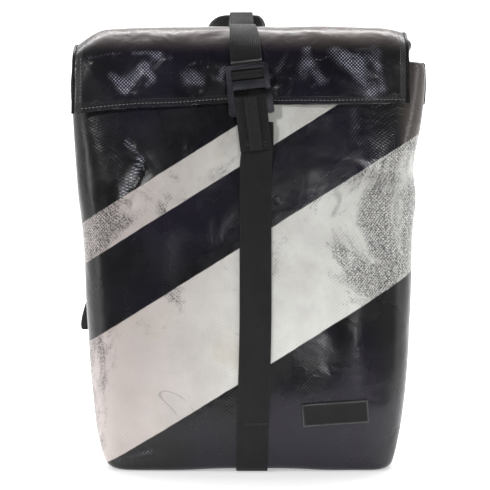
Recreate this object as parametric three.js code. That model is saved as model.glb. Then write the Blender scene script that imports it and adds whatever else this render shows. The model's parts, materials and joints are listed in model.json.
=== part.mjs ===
// A roll-top messenger backpack of used truck tarp, in millimetres.
// +Z is up, the front faces -Y and +X is to the right of the front.
// The origin is on the floor, under the strap that runs below the base.

import * as THREE from "three";
import { mergeVertices } from "three/addons/utils/BufferGeometryUtils.js";

// Sizes of the body
const body_height = 456;
const half_width = 190;
const body_depth = 150;
const tarp_wall = 2;
const base_edge = 8;
const mouth_rise = 26;
const seam_gap = 0.3;
const lie_gap = 0.6;

// Sizes of the folded-over mouth
const ridge_rise = 44;
const ridge_height = body_height + ridge_rise;
const arch_drop = 5;
const arch_height = body_height - arch_drop;
const flap_fall = 47;
const flap_hem_height = body_height - flap_fall;
const flap_back_fall = 22;
const flap_back_height = body_height - flap_back_fall;
const flap_wall = 3;
const flap_left_over = 7;
const flap_left = half_width + flap_left_over;
const flap_right_short = 18;
const flap_right = half_width - flap_right_short;
const binding_width = 3;
const binding_stand = 0.7;

// The folded sides of the mouth
const bellows_lift = 4;
const bellows_gap = 0.4;
const bellows_left_share = 0.265;
const bellows_right_share = 0.72;
const bellows_left_reach = 5;
const bellows_right_reach = 9;
const gusset_tape_width = 16.5;
const gusset_tape_over = 2.4;

// Sizes of the webbing, the hook buckle and the loop on it
const webbing_width = 35;
const webbing_thickness = 1.7;
const buckle_top_width = 45.5;
const buckle_foot_width = 50.5;
const buckle_height = 56.5;
const buckle_thickness = 3;
const buckle_slot = 4.2;
const buckle_bar = 4.2;
const buckle_band = 9.4;
const buckle_rail = 5.4;
const buckle_corner = 3.5;
const hook_window = 10;
const hook_gap = 6;
const slot_clearance = 0.4;
const ply_gap = 0.7;
const slot_corner = 0.8;
const buckle_fall = 4;
const buckle_top_height = body_height - buckle_fall;
const weave_lead = 2.6;
const buckle_x = -6.2;
const buckle_turn = 6.6;
const buckle_lean = 4;
const loop_length = 59;
const loop_turn_in = 8;
const loop_seam = 12;
const loop_band_width = 14;
const loop_band_thickness = 1.2;

// Where the straps run, from the middle of the front
const strap_x = 4;
const strap_ridge_x = -12;
const strap_ridge_width = 29.5;
const strap_loop_width = 27;
const strap_behind_x = 6.5;
const strap_tail = 42;

// Sizes of the carry handle
const handle_left = 39;
const handle_right = 29;
const handle_rise = 26.5;
const handle_width = 24;
const handle_thickness = 3.5;
const handle_seat = 52;

// Sizes of the bare name patch and the snap
const patch_width = 73;
const patch_height = 25;
const patch_thickness = 2;
const patch_rim = 0.8;
const rim_width = 3;
const patch_x = 92;
const patch_z = 68;
const patch_turn = 3.9;
const snap_radius = 5.7;
const snap_height = 2.4;
const snap_x = 29;
const snap_z = 302;

// Sizes of what is worn on the back
const pad_width = 60;
const pad_thickness = 11;
const pad_edge = 4;
const pad_end = 3;
const pad_end_width = 40;
const pad_right_share = 0.95;
const pad_share = 0.74;
const lock_share = 0.8;
const web_width = 25;
const web_thickness = 1.8;
const yoke_width = 190;
const yoke_height = 34;
const yoke_fall = 26;
const yoke_top = body_height - yoke_fall;
const yoke_thickness = 2.4;
const yoke_spine = 22;
const lock_thickness = 4;
const lock_wall = 4;
const tab_foot_width = 46;
const tab_thickness = 2.4;

// Each row of the body: rise of body_height, left and right of half_width, and
// front, back, round (corner) and crown (bulge of the front) of body_depth.
const body_sections = [
  { rise: 0.0, left: 0.855, right: 0.83, front: 0.465, back: 0.465, round: 0.17, crown: 0.01 },
  { rise: 0.045, left: 0.905, right: 0.865, front: 0.48, back: 0.475, round: 0.19, crown: 0.025 },
  { rise: 0.12, left: 0.937, right: 0.898, front: 0.49, back: 0.48, round: 0.22, crown: 0.045 },
  { rise: 0.24, left: 0.968, right: 0.935, front: 0.485, back: 0.475, round: 0.25, crown: 0.055 },
  { rise: 0.42, left: 0.995, right: 0.956, front: 0.46, back: 0.455, round: 0.27, crown: 0.055 },
  { rise: 0.59, left: 1.018, right: 0.97, front: 0.415, back: 0.425, round: 0.27, crown: 0.05 },
  { rise: 0.675, left: 1.043, right: 0.997, front: 0.385, back: 0.405, round: 0.265, crown: 0.045 },
  { rise: 0.735, left: 1.055, right: 0.968, front: 0.362, back: 0.385, round: 0.255, crown: 0.04 },
  { rise: 0.815, left: 1.068, right: 1.005, front: 0.33, back: 0.355, round: 0.23, crown: 0.03 },
  { rise: 0.88, left: 1.073, right: 1.028, front: 0.302, back: 0.325, round: 0.2, crown: 0.022 },
  { rise: 0.95, left: 1.079, right: 1.04, front: 0.272, back: 0.29, round: 0.17, crown: 0.014 },
  { rise: 1.0, left: 1.068, right: 1.034, front: 0.25, back: 0.265, round: 0.14, crown: 0.01 },
];

// Each row above the shoulder: rise of mouth_rise, and the rest as above.
const mouth_sections = [
  { rise: 0.04, left: 0.99, right: 0.95, front: 0.245, back: 0.26, round: 0.13, crown: 0.01 },
  { rise: 0.14, left: 0.9, right: 0.77, front: 0.235, back: 0.25, round: 0.12, crown: 0.01 },
  { rise: 1.0, left: 0.88, right: 0.75, front: 0.14, back: 0.15, round: 0.1, crown: 0.005 },
];

// Creases, dents and waves of the front: from and to are shares of half_width and
// body_height, reach of half_width and depth of body_depth (outwards if positive).
const front_folds = [
  { from: [-0.67, 0.79], to: [-0.62, 0.735], reach: 0.055, depth: -0.022 },
  { from: [-0.62, 0.735], to: [-0.7, 0.665], reach: 0.055, depth: -0.024 },
  { from: [-0.7, 0.665], to: [-0.78, 0.59], reach: 0.06, depth: -0.016 },
  { from: [-0.79, 0.75], to: [-0.8, 0.69], reach: 0.07, depth: 0.018 },
  { from: [-0.5, 0.73], to: [-0.52, 0.64], reach: 0.1, depth: 0.01 },
  { from: [-0.79, 0.02], to: [-0.58, 0.045], reach: 0.05, depth: -0.02 },
  { from: [-0.7, 0.085], to: [-0.63, 0.09], reach: 0.07, depth: -0.026 },
  { from: [0.62, 0.12], to: [0.58, 0.5], reach: 0.1, depth: 0.014 },
  { from: [0.8, 0.3], to: [0.74, 0.68], reach: 0.09, depth: -0.018 },
  { from: [0.45, 0.3], to: [0.4, 0.62], reach: 0.09, depth: -0.01 },
  { from: [0.72, 0.74], to: [0.9, 0.735], reach: 0.07, depth: -0.016 },
  { from: [0.62, 0.02], to: [0.78, 0.06], reach: 0.06, depth: -0.014 },
];

// The same for the front of the flap: shares of its width and of its drop.
const flap_folds = [
  { from: [0.05, 0.2], to: [0.2, 0.7], reach: 0.05, depth: 0.012 },
  { from: [0.28, 0.55], to: [0.4, 0.8], reach: 0.05, depth: -0.012 },
  { from: [0.62, 0.3], to: [0.72, 0.7], reach: 0.05, depth: 0.012 },
  { from: [0.86, 0.25], to: [0.95, 0.75], reach: 0.05, depth: -0.012 },
];

// How far the ridge and the hem drop along the flap, as shares of the ridge's rise
// above the arch and of body_height, at shares of the flap's width.
const ridge_drop = [
  { along: 0.0, drop: 0.46 },
  { along: 0.03, drop: 0.18 },
  { along: 0.06, drop: 0.08 },
  { along: 0.16, drop: 0.03 },
  { along: 0.5, drop: 0.0 },
  { along: 0.93, drop: 0.01 },
  { along: 0.97, drop: 0.06 },
  { along: 1.0, drop: 0.15 },
];
const hem_drop = [
  { along: 0.0, drop: 0.025 },
  { along: 0.16, drop: 0.011 },
  { along: 0.32, drop: 0.006 },
  { along: 0.46, drop: -0.002 },
  { along: 0.6, drop: 0.002 },
  { along: 1.0, drop: 0.0 },
];

// The shoulder strap's course down the back: out of half_width, rise of
// body_height, stand off the back of body_depth.
const strap_course = [
  { out: 0.3, rise: 0.905, stand: 0.015 },
  { out: 0.31, rise: 0.865, stand: 0.016 },
  { out: 0.35, rise: 0.79, stand: 0.11 },
  { out: 0.43, rise: 0.71, stand: 0.24 },
  { out: 0.55, rise: 0.62, stand: 0.33 },
  { out: 0.7, rise: 0.53, stand: 0.37 },
  { out: 0.84, rise: 0.44, stand: 0.37 },
  { out: 0.93, rise: 0.36, stand: 0.36 },
  { out: 0.94, rise: 0.27, stand: 0.33 },
  { out: 0.89, rise: 0.18, stand: 0.23 },
  { out: 0.81, rise: 0.125, stand: 0.11 },
  { out: 0.73, rise: 0.09, stand: 0.025 },
];

// How many columns each stretch of the girth has, and how many rows the walls have
const front_columns = 14;
const corner_columns = 4;
const side_columns = 2;
const back_columns = 8;
const wall_rows = 21;
const base_rings = [0, 0.4, 0.75];

// Materials
const finish = (color, roughness, metalness = 0) =>
  new THREE.MeshStandardMaterial({ color, roughness, metalness });
const dark_tarp = finish(0x2f2d31, 0.35);
const black_tarp = finish(0x19181a, 0.4);
const black_webbing = finish(0x242424, 0.8);
const black_rubber = finish(0x1c1c1d, 0.6);
const dark_metal = finish(0x23242b, 0.35, 0.9);
const steel = finish(0x4a4a4d, 0.35, 0.9);
const black_plastic = finish(0x1b1b1c, 0.5);

const X = new THREE.Vector3(1, 0, 0);
const Y = new THREE.Vector3(0, 1, 0);
const point = (x, y, z) => new THREE.Vector3(x, y, z);
const degrees = THREE.MathUtils.degToRad;
const mix = THREE.MathUtils.lerp;
const smooth = THREE.MathUtils.smoothstep;

// A closed sheet or bar: a box whose corners (across, along, thick), each from 0 to 1,
// are carried to their places.
function shapedBox(columns, rows, layers, place) {
  const box = new THREE.BoxGeometry(1, 1, 1, columns, rows, layers);
  box.deleteAttribute("normal");
  box.deleteAttribute("uv");
  const geometry = mergeVertices(box);
  const at = geometry.getAttribute("position");
  for (let i = 0; i < at.count; i += 1) {
    const p = place(at.getX(i) + 0.5, at.getY(i) + 0.5, at.getZ(i) + 0.5);
    at.setXYZ(i, p.x, p.y, p.z);
  }
  return geometry;
}

// The value of one column of a table at a place along it, on a smooth curve through
// its rows.
function between(rows, key, place, column) {
  const last = rows.length - 1;
  let k = 0;
  while (k < last - 1 && place > rows[k + 1][key]) k += 1;
  const span = rows[k + 1][key] - rows[k][key];
  const share = THREE.MathUtils.clamp((place - rows[k][key]) / span, 0, 1);
  const slope = (i) => {
    const low = Math.max(i - 1, 0);
    const high = Math.min(i + 1, last);
    return ((rows[high][column] - rows[low][column]) / (rows[high][key] - rows[low][key])) * span;
  };
  const square = share * share;
  const cube = square * share;
  return (
    (2 * cube - 3 * square + 1) * rows[k][column] +
    (cube - 2 * square + share) * slope(k) +
    (3 * square - 2 * cube) * rows[k + 1][column] +
    (cube - square) * slope(k + 1)
  );
}

// The push of a table of folds at a place, with places and pushes in millimetres.
function foldPush(folds, across, along, place) {
  let push = 0;
  for (const fold of folds) {
    const start = new THREE.Vector2(fold.from[0] * across, fold.from[1] * along);
    const end = new THREE.Vector2(fold.to[0] * across, fold.to[1] * along);
    const run = end.clone().sub(start);
    const offset = place.clone().sub(start);
    const share = THREE.MathUtils.clamp(offset.dot(run) / run.lengthSq(), 0, 1);
    const distance = offset.sub(run.multiplyScalar(share)).length();
    push += fold.depth * body_depth * Math.exp(-((distance / (fold.reach * across)) ** 2));
  }
  return push;
}

// The body's measures at a height.
function bodySection(z) {
  const over = z > body_height;
  const rows = over
    ? [{ ...body_sections.at(-1), rise: 0 }, ...mouth_sections]
    : body_sections;
  const rise = over ? (z - body_height) / mouth_rise : z / body_height;
  const read = (column) => {
    if (!over) return between(rows, "rise", rise, column);
    let k = 0;
    while (k < rows.length - 2 && rise > rows[k + 1].rise) k += 1;
    const share = (rise - rows[k].rise) / (rows[k + 1].rise - rows[k].rise);
    return mix(rows[k][column], rows[k + 1][column], Math.min(share, 1));
  };
  return {
    left: read("left") * half_width,
    right: read("right") * half_width,
    front: read("front") * body_depth,
    back: read("back") * body_depth,
    round: read("round") * body_depth,
    crown: read("crown") * body_depth,
  };
}

// How far the base rises over the strap that runs below it.
function baseLift(x, z) {
  const lift = webbing_thickness + lie_gap;
  const beside = smooth(Math.abs(x - strap_x), webbing_width, webbing_width * 2.4);
  return lift * (1 - beside) * (1 - smooth(z, 0, base_edge * 4));
}

// The folds fade out towards the strap, so that it lies flat.
function frontPush(x, z) {
  const beside = smooth(Math.abs(x - strap_x), webbing_width * 0.6, webbing_width * 1.2);
  return beside * foldPush(front_folds, half_width, body_height, new THREE.Vector2(x, z));
}

// The y of the front's outer face, and of the back's.
function frontAt(x, z) {
  const section = bodySection(z);
  const side = x < 0 ? section.left : section.right;
  const bulge = section.crown * Math.max(0, 1 - (x / side) ** 2);
  return -(section.front + bulge + frontPush(x, z));
}
function backAt(z) {
  return bodySection(z).back;
}

// The stations round the girth, counter-clockwise from the left end of the front.
const girth = [];
for (let i = 0; i < front_columns; i += 1) girth.push({ face: "front", share: i / front_columns });
for (let i = 0; i < corner_columns; i += 1) girth.push({ face: "front_right", share: i / corner_columns });
for (let i = 0; i < side_columns; i += 1) girth.push({ face: "right", share: i / side_columns });
for (let i = 0; i < corner_columns; i += 1) girth.push({ face: "back_right", share: i / corner_columns });
for (let i = 0; i < back_columns; i += 1) girth.push({ face: "back", share: i / back_columns });
for (let i = 0; i < corner_columns; i += 1) girth.push({ face: "back_left", share: i / corner_columns });
for (let i = 0; i < side_columns; i += 1) girth.push({ face: "left", share: i / side_columns });
for (let i = 0; i < corner_columns; i += 1) girth.push({ face: "front_left", share: i / corner_columns });

// The point of the wall at a station and a height, moved inwards by inset.
function wallPoint(station, z, inset) {
  const section = bodySection(z);
  const left = section.left - inset;
  const right = section.right - inset;
  const front = section.front - inset;
  const back = section.back - inset;
  const round = Math.max(section.round - inset, 1);
  const turn = (station.share * Math.PI) / 2;
  const corner = (cx, cy, start) =>
    point(cx + round * Math.cos(start + turn), cy + round * Math.sin(start + turn), z);
  const places = {
    front: () => point(mix(-left + round, right - round, station.share), -front, z),
    front_right: () => corner(right - round, -front + round, -Math.PI / 2),
    right: () => point(right, mix(-front + round, back - round, station.share), z),
    back_right: () => corner(right - round, back - round, 0),
    back: () => point(mix(right - round, -left + round, station.share), back, z),
    back_left: () => corner(-left + round, back - round, Math.PI / 2),
    left: () => point(-left, mix(back - round, -front + round, station.share), z),
    front_left: () => corner(-left + round, -front + round, Math.PI),
  };
  const p = places[station.face]();
  const side = p.x < 0 ? section.left : section.right;
  const facing = THREE.MathUtils.clamp((-p.y - front + round) / round, 0, 1);
  const bulge = section.crown * Math.max(0, 1 - (p.x / side) ** 2);
  p.y -= (bulge + frontPush(p.x, z)) * facing;
  return p;
}

// The tarp body: one shell from the middle of the base, up the outside, over the rim
// of the open mouth and down the inside.
function tarpBody() {
  const walls = [];
  for (let i = 1; i <= wall_rows; i += 1) walls.push(mix(base_edge, body_height, i / wall_rows));
  for (const row of mouth_sections) walls.push(body_height + row.rise * mouth_rise);
  const course = [];
  for (const spread of base_rings) course.push({ spread, z: 0, inset: 0 });
  for (const turn of [0, 30, 60, 90]) {
    const sweep = degrees(turn);
    course.push({
      spread: 1,
      z: base_edge * (1 - Math.cos(sweep)),
      inset: base_edge * (1 - Math.sin(sweep)),
    });
  }
  for (const z of walls) course.push({ spread: 1, z, inset: 0 });
  for (const z of walls.toReversed()) course.push({ spread: 1, z, inset: tarp_wall });
  course.push({ spread: 1, z: base_edge, inset: tarp_wall });
  course.push({ spread: 1, z: tarp_wall, inset: base_edge });
  for (const spread of base_rings.toReversed()) course.push({ spread, z: tarp_wall, inset: tarp_wall });

  const profile = course.map((step, i) => new THREE.Vector2(step.spread, i));
  const geometry = new THREE.LatheGeometry(profile, girth.length);
  geometry.deleteAttribute("normal");
  geometry.deleteAttribute("uv");
  const at = geometry.getAttribute("position");
  for (let i = 0; i < at.count; i += 1) {
    const step = course[i % course.length];
    const station = girth[Math.floor(i / course.length) % girth.length];
    const onBase = step.spread < 1;
    const inset = onBase ? base_edge : step.inset;
    const p = wallPoint(station, step.z, inset);
    p.x *= step.spread;
    p.y *= step.spread;
    p.z += baseLift(p.x, p.z);
    at.setXYZ(i, p.x, p.y, p.z);
  }
  return mergeVertices(geometry);
}

// The hood that the rolled mouth makes: up from the back hem, over the ridge and down
// to the front hem. along runs from the back hem to the front hem.
const back_leg = 0.12;
const front_leg = 0.62;
const arch_back = backAt(arch_height) + lie_gap;
const arch_front = -frontAt(strap_x, arch_height) + lie_gap;
const arch_middle = (arch_back - arch_front) / 2;
const arch_half = (arch_back + arch_front) / 2;

function hoodPoint(x, along, thick) {
  const share = (x + flap_left) / (flap_left + flap_right);
  const rise = (ridge_height - flap_wall - arch_height) * (1 - between(ridge_drop, "along", share, "drop"));
  const lift = thick * flap_wall;
  if (along < back_leg) {
    const z = mix(flap_back_height, arch_height, along / back_leg);
    return point(x, backAt(z) + lie_gap + lift, z);
  }
  if (along <= front_leg) {
    const turn = (Math.PI * (along - back_leg)) / (front_leg - back_leg);
    return point(
      x,
      arch_middle + (arch_half + lift) * Math.cos(turn),
      arch_height + (rise + lift) * Math.sin(turn),
    );
  }
  const drop = (along - front_leg) / (1 - front_leg);
  const hem = flap_hem_height - between(hem_drop, "along", share, "drop") * body_height;
  const z = mix(arch_height, hem, drop);
  const push = foldPush(flap_folds, flap_left + flap_right, arch_height - hem,
    new THREE.Vector2(share * (flap_left + flap_right), drop * (arch_height - hem)));
  const calm = smooth(Math.abs(x - buckle_x), buckle_foot_width * 0.6, buckle_foot_width);
  const below = Math.min(frontAt(strap_x, z), frontAt(x, z));
  return point(x, below - lie_gap - lift - Math.max(push, 0) * calm, z);
}

const hood_columns = 18;
const hood_rows = 22;
function rollFlap() {
  return shapedBox(hood_columns, hood_rows, 1, (across, along, thick) =>
    hoodPoint(mix(-flap_left, flap_right, across), 1 - along, thick));
}

// The tape that binds a side edge of the hood.
function flapBinding(side) {
  const edge = side < 0 ? -flap_left - seam_gap : flap_right + seam_gap;
  const outer = edge + side * binding_width;
  const inner_side = Math.min(edge, outer);
  const outer_side = Math.max(edge, outer);
  const inside = side < 0 ? -flap_left : flap_right;
  const stand = binding_stand / flap_wall;
  return shapedBox(1, hood_rows, 1, (across, along, thick) => {
    const p = hoodPoint(inside, 1 - along, mix(0, 1 + stand, thick));
    p.x = mix(inner_side, outer_side, across);
    return p;
  });
}

// The folded side of the mouth, which bulges out of the end of the roll. It rises by a
// share of the roll above its foot, and reaches past the flap's tape.
function bellows(side) {
  const high = side < 0 ? bellows_left_share : bellows_right_share;
  const reach = side < 0 ? bellows_left_reach : bellows_right_reach;
  const foot = body_height + bellows_lift;
  const middle = mix(foot, ridge_height, high / 2);
  const section = bodySection(middle);
  const neck = (side < 0 ? section.left : section.right) + bellows_gap;
  const end = (side < 0 ? flap_left : flap_right) + binding_width + reach;
  const sphere = new THREE.SphereGeometry(1, 14, 9);
  sphere.deleteAttribute("normal");
  sphere.deleteAttribute("uv");
  sphere.scale((end - neck) / 2, section.back, middle - foot);
  sphere.translate((side * (neck + end)) / 2, arch_middle, middle);
  return mergeVertices(sphere, 1e-3);
}

// Each station's outward direction: across x course.
function facesOf(stations) {
  return stations.map((station, i) => {
    const before = stations[Math.max(i - 1, 0)].at;
    const after = stations[Math.min(i + 1, stations.length - 1)].at;
    return station.across.clone().cross(after.clone().sub(before)).normalize();
  });
}

// A flat strap through stations {at, across}, whose face looks along across x course.
function ribbon(stations, width, thickness, side = 0.5) {
  const faces = facesOf(stations);
  return shapedBox(2, stations.length - 1, 1, (across, along, thick) => {
    const i = Math.round(along * (stations.length - 1));
    const station = stations[i];
    return station.at
      .clone()
      .addScaledVector(station.across, (across - 0.5) * (station.width ?? width))
      .addScaledVector(faces[i], (thick - side) * thickness);
  });
}

// The hook buckle's own frame: right, up and out of its face, from the middle of its
// top edge on its back face.
const buckle_axes = new THREE.Matrix4()
  .makeRotationY(degrees(-buckle_turn))
  .multiply(new THREE.Matrix4().makeRotationX(degrees(-buckle_lean)));
const buckle_right = X.clone().transformDirection(buckle_axes);
const buckle_up = point(0, 0, 1).transformDirection(buckle_axes);
const buckle_out = Y.clone().negate().transformDirection(buckle_axes);
const ply = webbing_thickness + ply_gap;
const buckle_below = Math.min(
  hoodPoint(buckle_x, 1, 1).y,
  frontAt(strap_x, buckle_top_height - buckle_height) - ply,
);
const buckle_seat = ply + lie_gap + slot_clearance;
const buckle_foot_y = buckle_below - buckle_seat - binding_stand;
const buckle_at = point(
  buckle_x,
  buckle_foot_y + (buckle_top_height - flap_hem_height) * Math.tan(degrees(buckle_lean)),
  buckle_top_height,
);
function onBuckle(right, up, out) {
  return buckle_at
    .clone()
    .addScaledVector(buckle_right, right)
    .addScaledVector(buckle_up, up)
    .addScaledVector(buckle_out, out);
}

// A point of a strap's middle, brought clear of the body's front and of the layers of
// webbing that lie below it.
function clearOfFront(at, layers) {
  const clear = frontAt(strap_x, at.z) - lie_gap - webbing_thickness / 2 - layers * ply;
  at.y = Math.min(at.y, clear);
  return at;
}

// Heights on the buckle, down from its top edge
const slot_width = webbing_width + 2 * slot_clearance;
const first_slot_top = -buckle_rail;
const first_slot_foot = first_slot_top - buckle_slot;
const second_slot_top = first_slot_foot - buckle_bar;
const second_slot_foot = second_slot_top - buckle_slot;
const window_top = second_slot_foot - buckle_band;
const window_foot = window_top - hook_window;

// A shape with its corners, each [right, up] or [right, up, radius], rounded.
function roundedShape(corners, radius) {
  const shape = new THREE.Shape();
  corners.forEach((corner, i) => {
    const before = corners[(i + corners.length - 1) % corners.length];
    const after = corners[(i + 1) % corners.length];
    const here = new THREE.Vector2(corner[0], corner[1]);
    const back = new THREE.Vector2(before[0], before[1]).sub(here);
    const on = new THREE.Vector2(after[0], after[1]).sub(here);
    const cut = Math.min(corner[2] ?? radius, back.length() / 2.2, on.length() / 2.2);
    const start = here.clone().add(back.setLength(cut));
    const end = here.clone().add(on.setLength(cut));
    if (i === 0) shape.moveTo(start.x, start.y);
    else shape.lineTo(start.x, start.y);
    shape.quadraticCurveTo(here.x, here.y, end.x, end.y);
  });
  shape.closePath();
  return shape;
}

function slotHole(top, foot) {
  const half = slot_width / 2;
  return roundedShape([[-half, foot], [half, foot], [half, top], [-half, top]], slot_corner);
}

// The hook buckle: a flat plate with two webbing slots over a hook that is open at the
// right.
function hookBuckle() {
  const sideAt = (up) => mix(buckle_top_width, buckle_foot_width, -up / buckle_height) / 2;
  const half = slot_width / 2;
  const jaw_top = (window_top + window_foot) / 2 + hook_gap / 2;
  const jaw_foot = jaw_top - hook_gap;
  const outline = roundedShape([
    [-sideAt(0), 0],
    [-sideAt(-buckle_height), -buckle_height],
    [sideAt(-buckle_height), -buckle_height],
    [sideAt(jaw_foot), jaw_foot],
    [half, jaw_foot],
    [half, window_foot, slot_corner],
    [-half, window_foot, slot_corner],
    [-half, window_top, slot_corner],
    [half, window_top, slot_corner],
    [half, jaw_top],
    [sideAt(jaw_top), jaw_top],
    [sideAt(0), 0],
  ], buckle_corner);
  outline.holes.push(slotHole(first_slot_top, first_slot_foot));
  outline.holes.push(slotHole(second_slot_top, second_slot_foot));
  const geometry = new THREE.ExtrudeGeometry(outline, {
    depth: buckle_thickness,
    bevelEnabled: false,
    curveSegments: 3,
  });
  geometry.rotateX(Math.PI / 2);
  return geometry;
}

// The upper strap: from its tail behind the buckle, through both slots, up the flap,
// over the ridge and round the carry handle.
const handle_base = hoodPoint(strap_ridge_x, back_leg + ((front_leg - back_leg) * handle_seat) / 180, 1);
const handle_out = point(
  0,
  Math.cos(degrees(handle_seat)) / (arch_half + flap_wall),
  Math.sin(degrees(handle_seat)) / (ridge_height - arch_height),
).normalize();
const handle_slope = X.clone().cross(handle_out).negate().normalize();
const handle_top = handle_rise - handle_thickness / 2;
const handle_middle = handle_base.clone().addScaledVector(handle_out, handle_top);

function upperStrap() {
  const behind = -slot_clearance - webbing_thickness / 2;
  const before = buckle_thickness + slot_clearance + webbing_thickness / 2;
  const second_slot = (second_slot_top + second_slot_foot) / 2;
  const first_slot = (first_slot_top + first_slot_foot) / 2;
  const near = weave_lead / 4;
  const lean_in = slot_clearance;
  const edge_in = buckle_thickness / 6;
  const weave = [
    { up: window_top + weave_lead, out: behind },
    { up: second_slot - weave_lead, out: behind },
    { up: second_slot - near, out: behind + lean_in },
    { up: second_slot, out: edge_in },
    { up: second_slot, out: buckle_thickness - edge_in },
    { up: second_slot + near, out: before - lean_in },
    { up: second_slot + weave_lead, out: before },
    { up: first_slot - weave_lead, out: before },
    { up: first_slot - near, out: before - lean_in },
    { up: first_slot, out: buckle_thickness - edge_in },
    { up: first_slot, out: edge_in },
    { up: first_slot + near, out: behind + lean_in },
    { up: first_slot + weave_lead, out: behind },
    { up: weave_lead, out: behind },
  ];
  const stations = weave.map((step) => ({ at: onBuckle(0, step.up, step.out), across: buckle_right }));
  const rows = 20;
  const over = front_leg - 0.02;
  const top = back_leg + (front_leg - back_leg) * 0.42;
  for (let i = 0; i <= rows; i += 1) {
    const along = mix(over, top, i / rows);
    const share = i / rows;
    const x = mix(buckle_x, strap_ridge_x, share);
    const p = hoodPoint(x, along, 1);
    const turn = (Math.PI * (along - back_leg)) / (front_leg - back_leg);
    const out = point(0, Math.cos(turn), Math.sin(turn));
    p.addScaledVector(out, lie_gap + webbing_thickness / 2);
    const across = buckle_right.clone().lerp(X, smooth(share, 0, 0.3)).normalize();
    const width = mix(webbing_width, strap_ridge_width, smooth(share, 0, 0.8));
    stations.push({ at: p, across, width });
  }
  const half = handle_width / 2;
  const face = handle_thickness / 2 + slot_clearance + webbing_thickness / 2;
  const ramp = handle_thickness;
  const wrap = [
    { slope: -half - ramp, out: face - slot_clearance * 3 },
    { slope: -half + ramp / 3, out: face + slot_clearance / 2 },
    { slope: 0, out: face + slot_clearance / 2 },
  ];
  for (let turn = 90; turn >= -90; turn -= 30) {
    const sweep = degrees(turn);
    wrap.push({ slope: half - ramp / 3 + face * Math.cos(sweep), out: face * Math.sin(sweep) });
  }
  wrap.push({ slope: 0, out: -face }, { slope: -half + ramp, out: -face });
  for (const step of wrap) {
    const at = handle_middle.clone()
      .addScaledVector(handle_slope, step.slope)
      .addScaledVector(handle_out, step.out);
    stations.push({ at, across: X, width: strap_loop_width });
  }
  return ribbon(stations, webbing_width, webbing_thickness);
}

// The lower strap: from the back, below the base and up the front into the loop.
function lowerStrap() {
  const half = webbing_thickness / 2;
  const stations = [];
  const stand = lie_gap + half;
  const add = (x, y, z) => stations.push({ at: point(x, y, z), across: X });
  const radius = base_edge + stand;
  const bend_height = base_edge + webbing_thickness + lie_gap;
  const back_bend = backAt(base_edge) - base_edge;
  const front_bend = frontAt(0, base_edge) + base_edge;
  add(0, backAt(strap_tail) + stand, strap_tail);
  add(0, backAt(strap_tail / 2) + stand, strap_tail / 2);
  for (let turn = 0; turn <= 90; turn += 18) {
    const sweep = degrees(turn);
    add(0, back_bend + radius * Math.cos(sweep), bend_height - radius * Math.sin(sweep));
  }
  for (let turn = 90; turn >= 0; turn -= 18) {
    const sweep = degrees(turn);
    add(0, front_bend - radius * Math.cos(sweep), bend_height - radius * Math.sin(sweep));
  }
  const loop_foot = onBuckle(0, window_foot - loop_length, 0).z;
  const rows = 18;
  for (let i = 1; i <= rows; i += 1) {
    const z = mix(base_edge * 2.4, loop_foot - loop_seam, i / rows);
    const x = strap_x * smooth(z, 0, body_height * 0.4);
    add(x, frontAt(x, z) - stand, z);
  }
  for (const share of [0.95, 0.7, 0.45]) {
    const at = clearOfFront(onBuckle(0, window_foot - loop_length * share, loop_behind + ply), 1);
    at.x = strap_behind_x;
    stations.push({ at, across: X });
  }
  return ribbon(stations, webbing_width, webbing_thickness);
}

// The folded loop that hangs on the hook, and the band sewn down its middle.
const loop_before = buckle_thickness + slot_clearance + webbing_thickness / 2;
const loop_behind = -slot_clearance - webbing_thickness / 2;
const loop_foot_out = loop_behind + 2 * ply;
function loopCourse() {
  const bar_foot = -buckle_height;
  const loop_foot = window_foot - loop_length;
  const course = [
    { up: loop_foot + loop_turn_in, out: loop_behind, layers: 0 },
    { up: mix(loop_foot, bar_foot, 0.5), out: loop_behind, layers: 0 },
    { up: bar_foot - loop_turn_in / 2, out: loop_behind, layers: 0 },
    { up: bar_foot + loop_turn_in / 2, out: loop_behind, layers: 0 },
  ];
  const middle = (loop_before + loop_behind) / 2;
  const radius = (loop_before - loop_behind) / 2;
  for (let turn = 0; turn <= 180; turn += 30) {
    const sweep = degrees(turn);
    course.push({
      up: window_foot + radius * Math.sin(sweep),
      out: middle - radius * Math.cos(sweep),
      layers: 0,
    });
  }
  course.push({ up: bar_foot + loop_turn_in / 2, out: loop_before, layers: 0 });
  for (const share of [0.15, 0.35, 0.55, 0.75, 1]) {
    course.push({ up: mix(bar_foot, loop_foot, share), out: loop_foot_out, layers: 2 });
  }
  return course;
}
function strapLoop() {
  const stations = loopCourse().map((step) => ({
    at: clearOfFront(onBuckle(0, step.up, step.out), step.layers),
    across: buckle_right,
  }));
  return ribbon(stations, webbing_width, webbing_thickness);
}
function loopBand() {
  const lift = webbing_thickness / 2 + seam_gap;
  const front = loopCourse().filter((step) => step.out > buckle_thickness && step.up <= window_foot);
  const stations = front.toReversed().map((step) => {
    const at = clearOfFront(onBuckle(0, step.up, step.out), step.layers);
    return { at: at.addScaledVector(buckle_out, lift), across: buckle_right };
  });
  return ribbon(stations, loop_band_width, loop_band_thickness, 0);
}

// The carry handle: an arch of doubled webbing that stands on the back of the ridge,
// flat where the upper strap goes round it.
function carryHandle() {
  const stations = [];
  const flat_half = strap_loop_width / 2 + handle_thickness;
  for (const side of [-1, 1]) {
    const quarter = (side < 0 ? handle_left : handle_right) - handle_thickness / 2 - flat_half;
    for (let i = 0; i <= 7; i += 1) {
      const turn = (Math.PI / 2) * (side < 0 ? i / 7 : 1 - i / 7);
      const rise = mix(lie_gap, handle_top, Math.sin(turn));
      const at = handle_base.clone().addScaledVector(handle_out, rise);
      at.x += side * (flat_half + quarter * Math.cos(turn));
      stations.push({ at, across: handle_slope.clone().negate() });
    }
  }
  return ribbon(stations, handle_width, handle_thickness);
}

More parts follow.
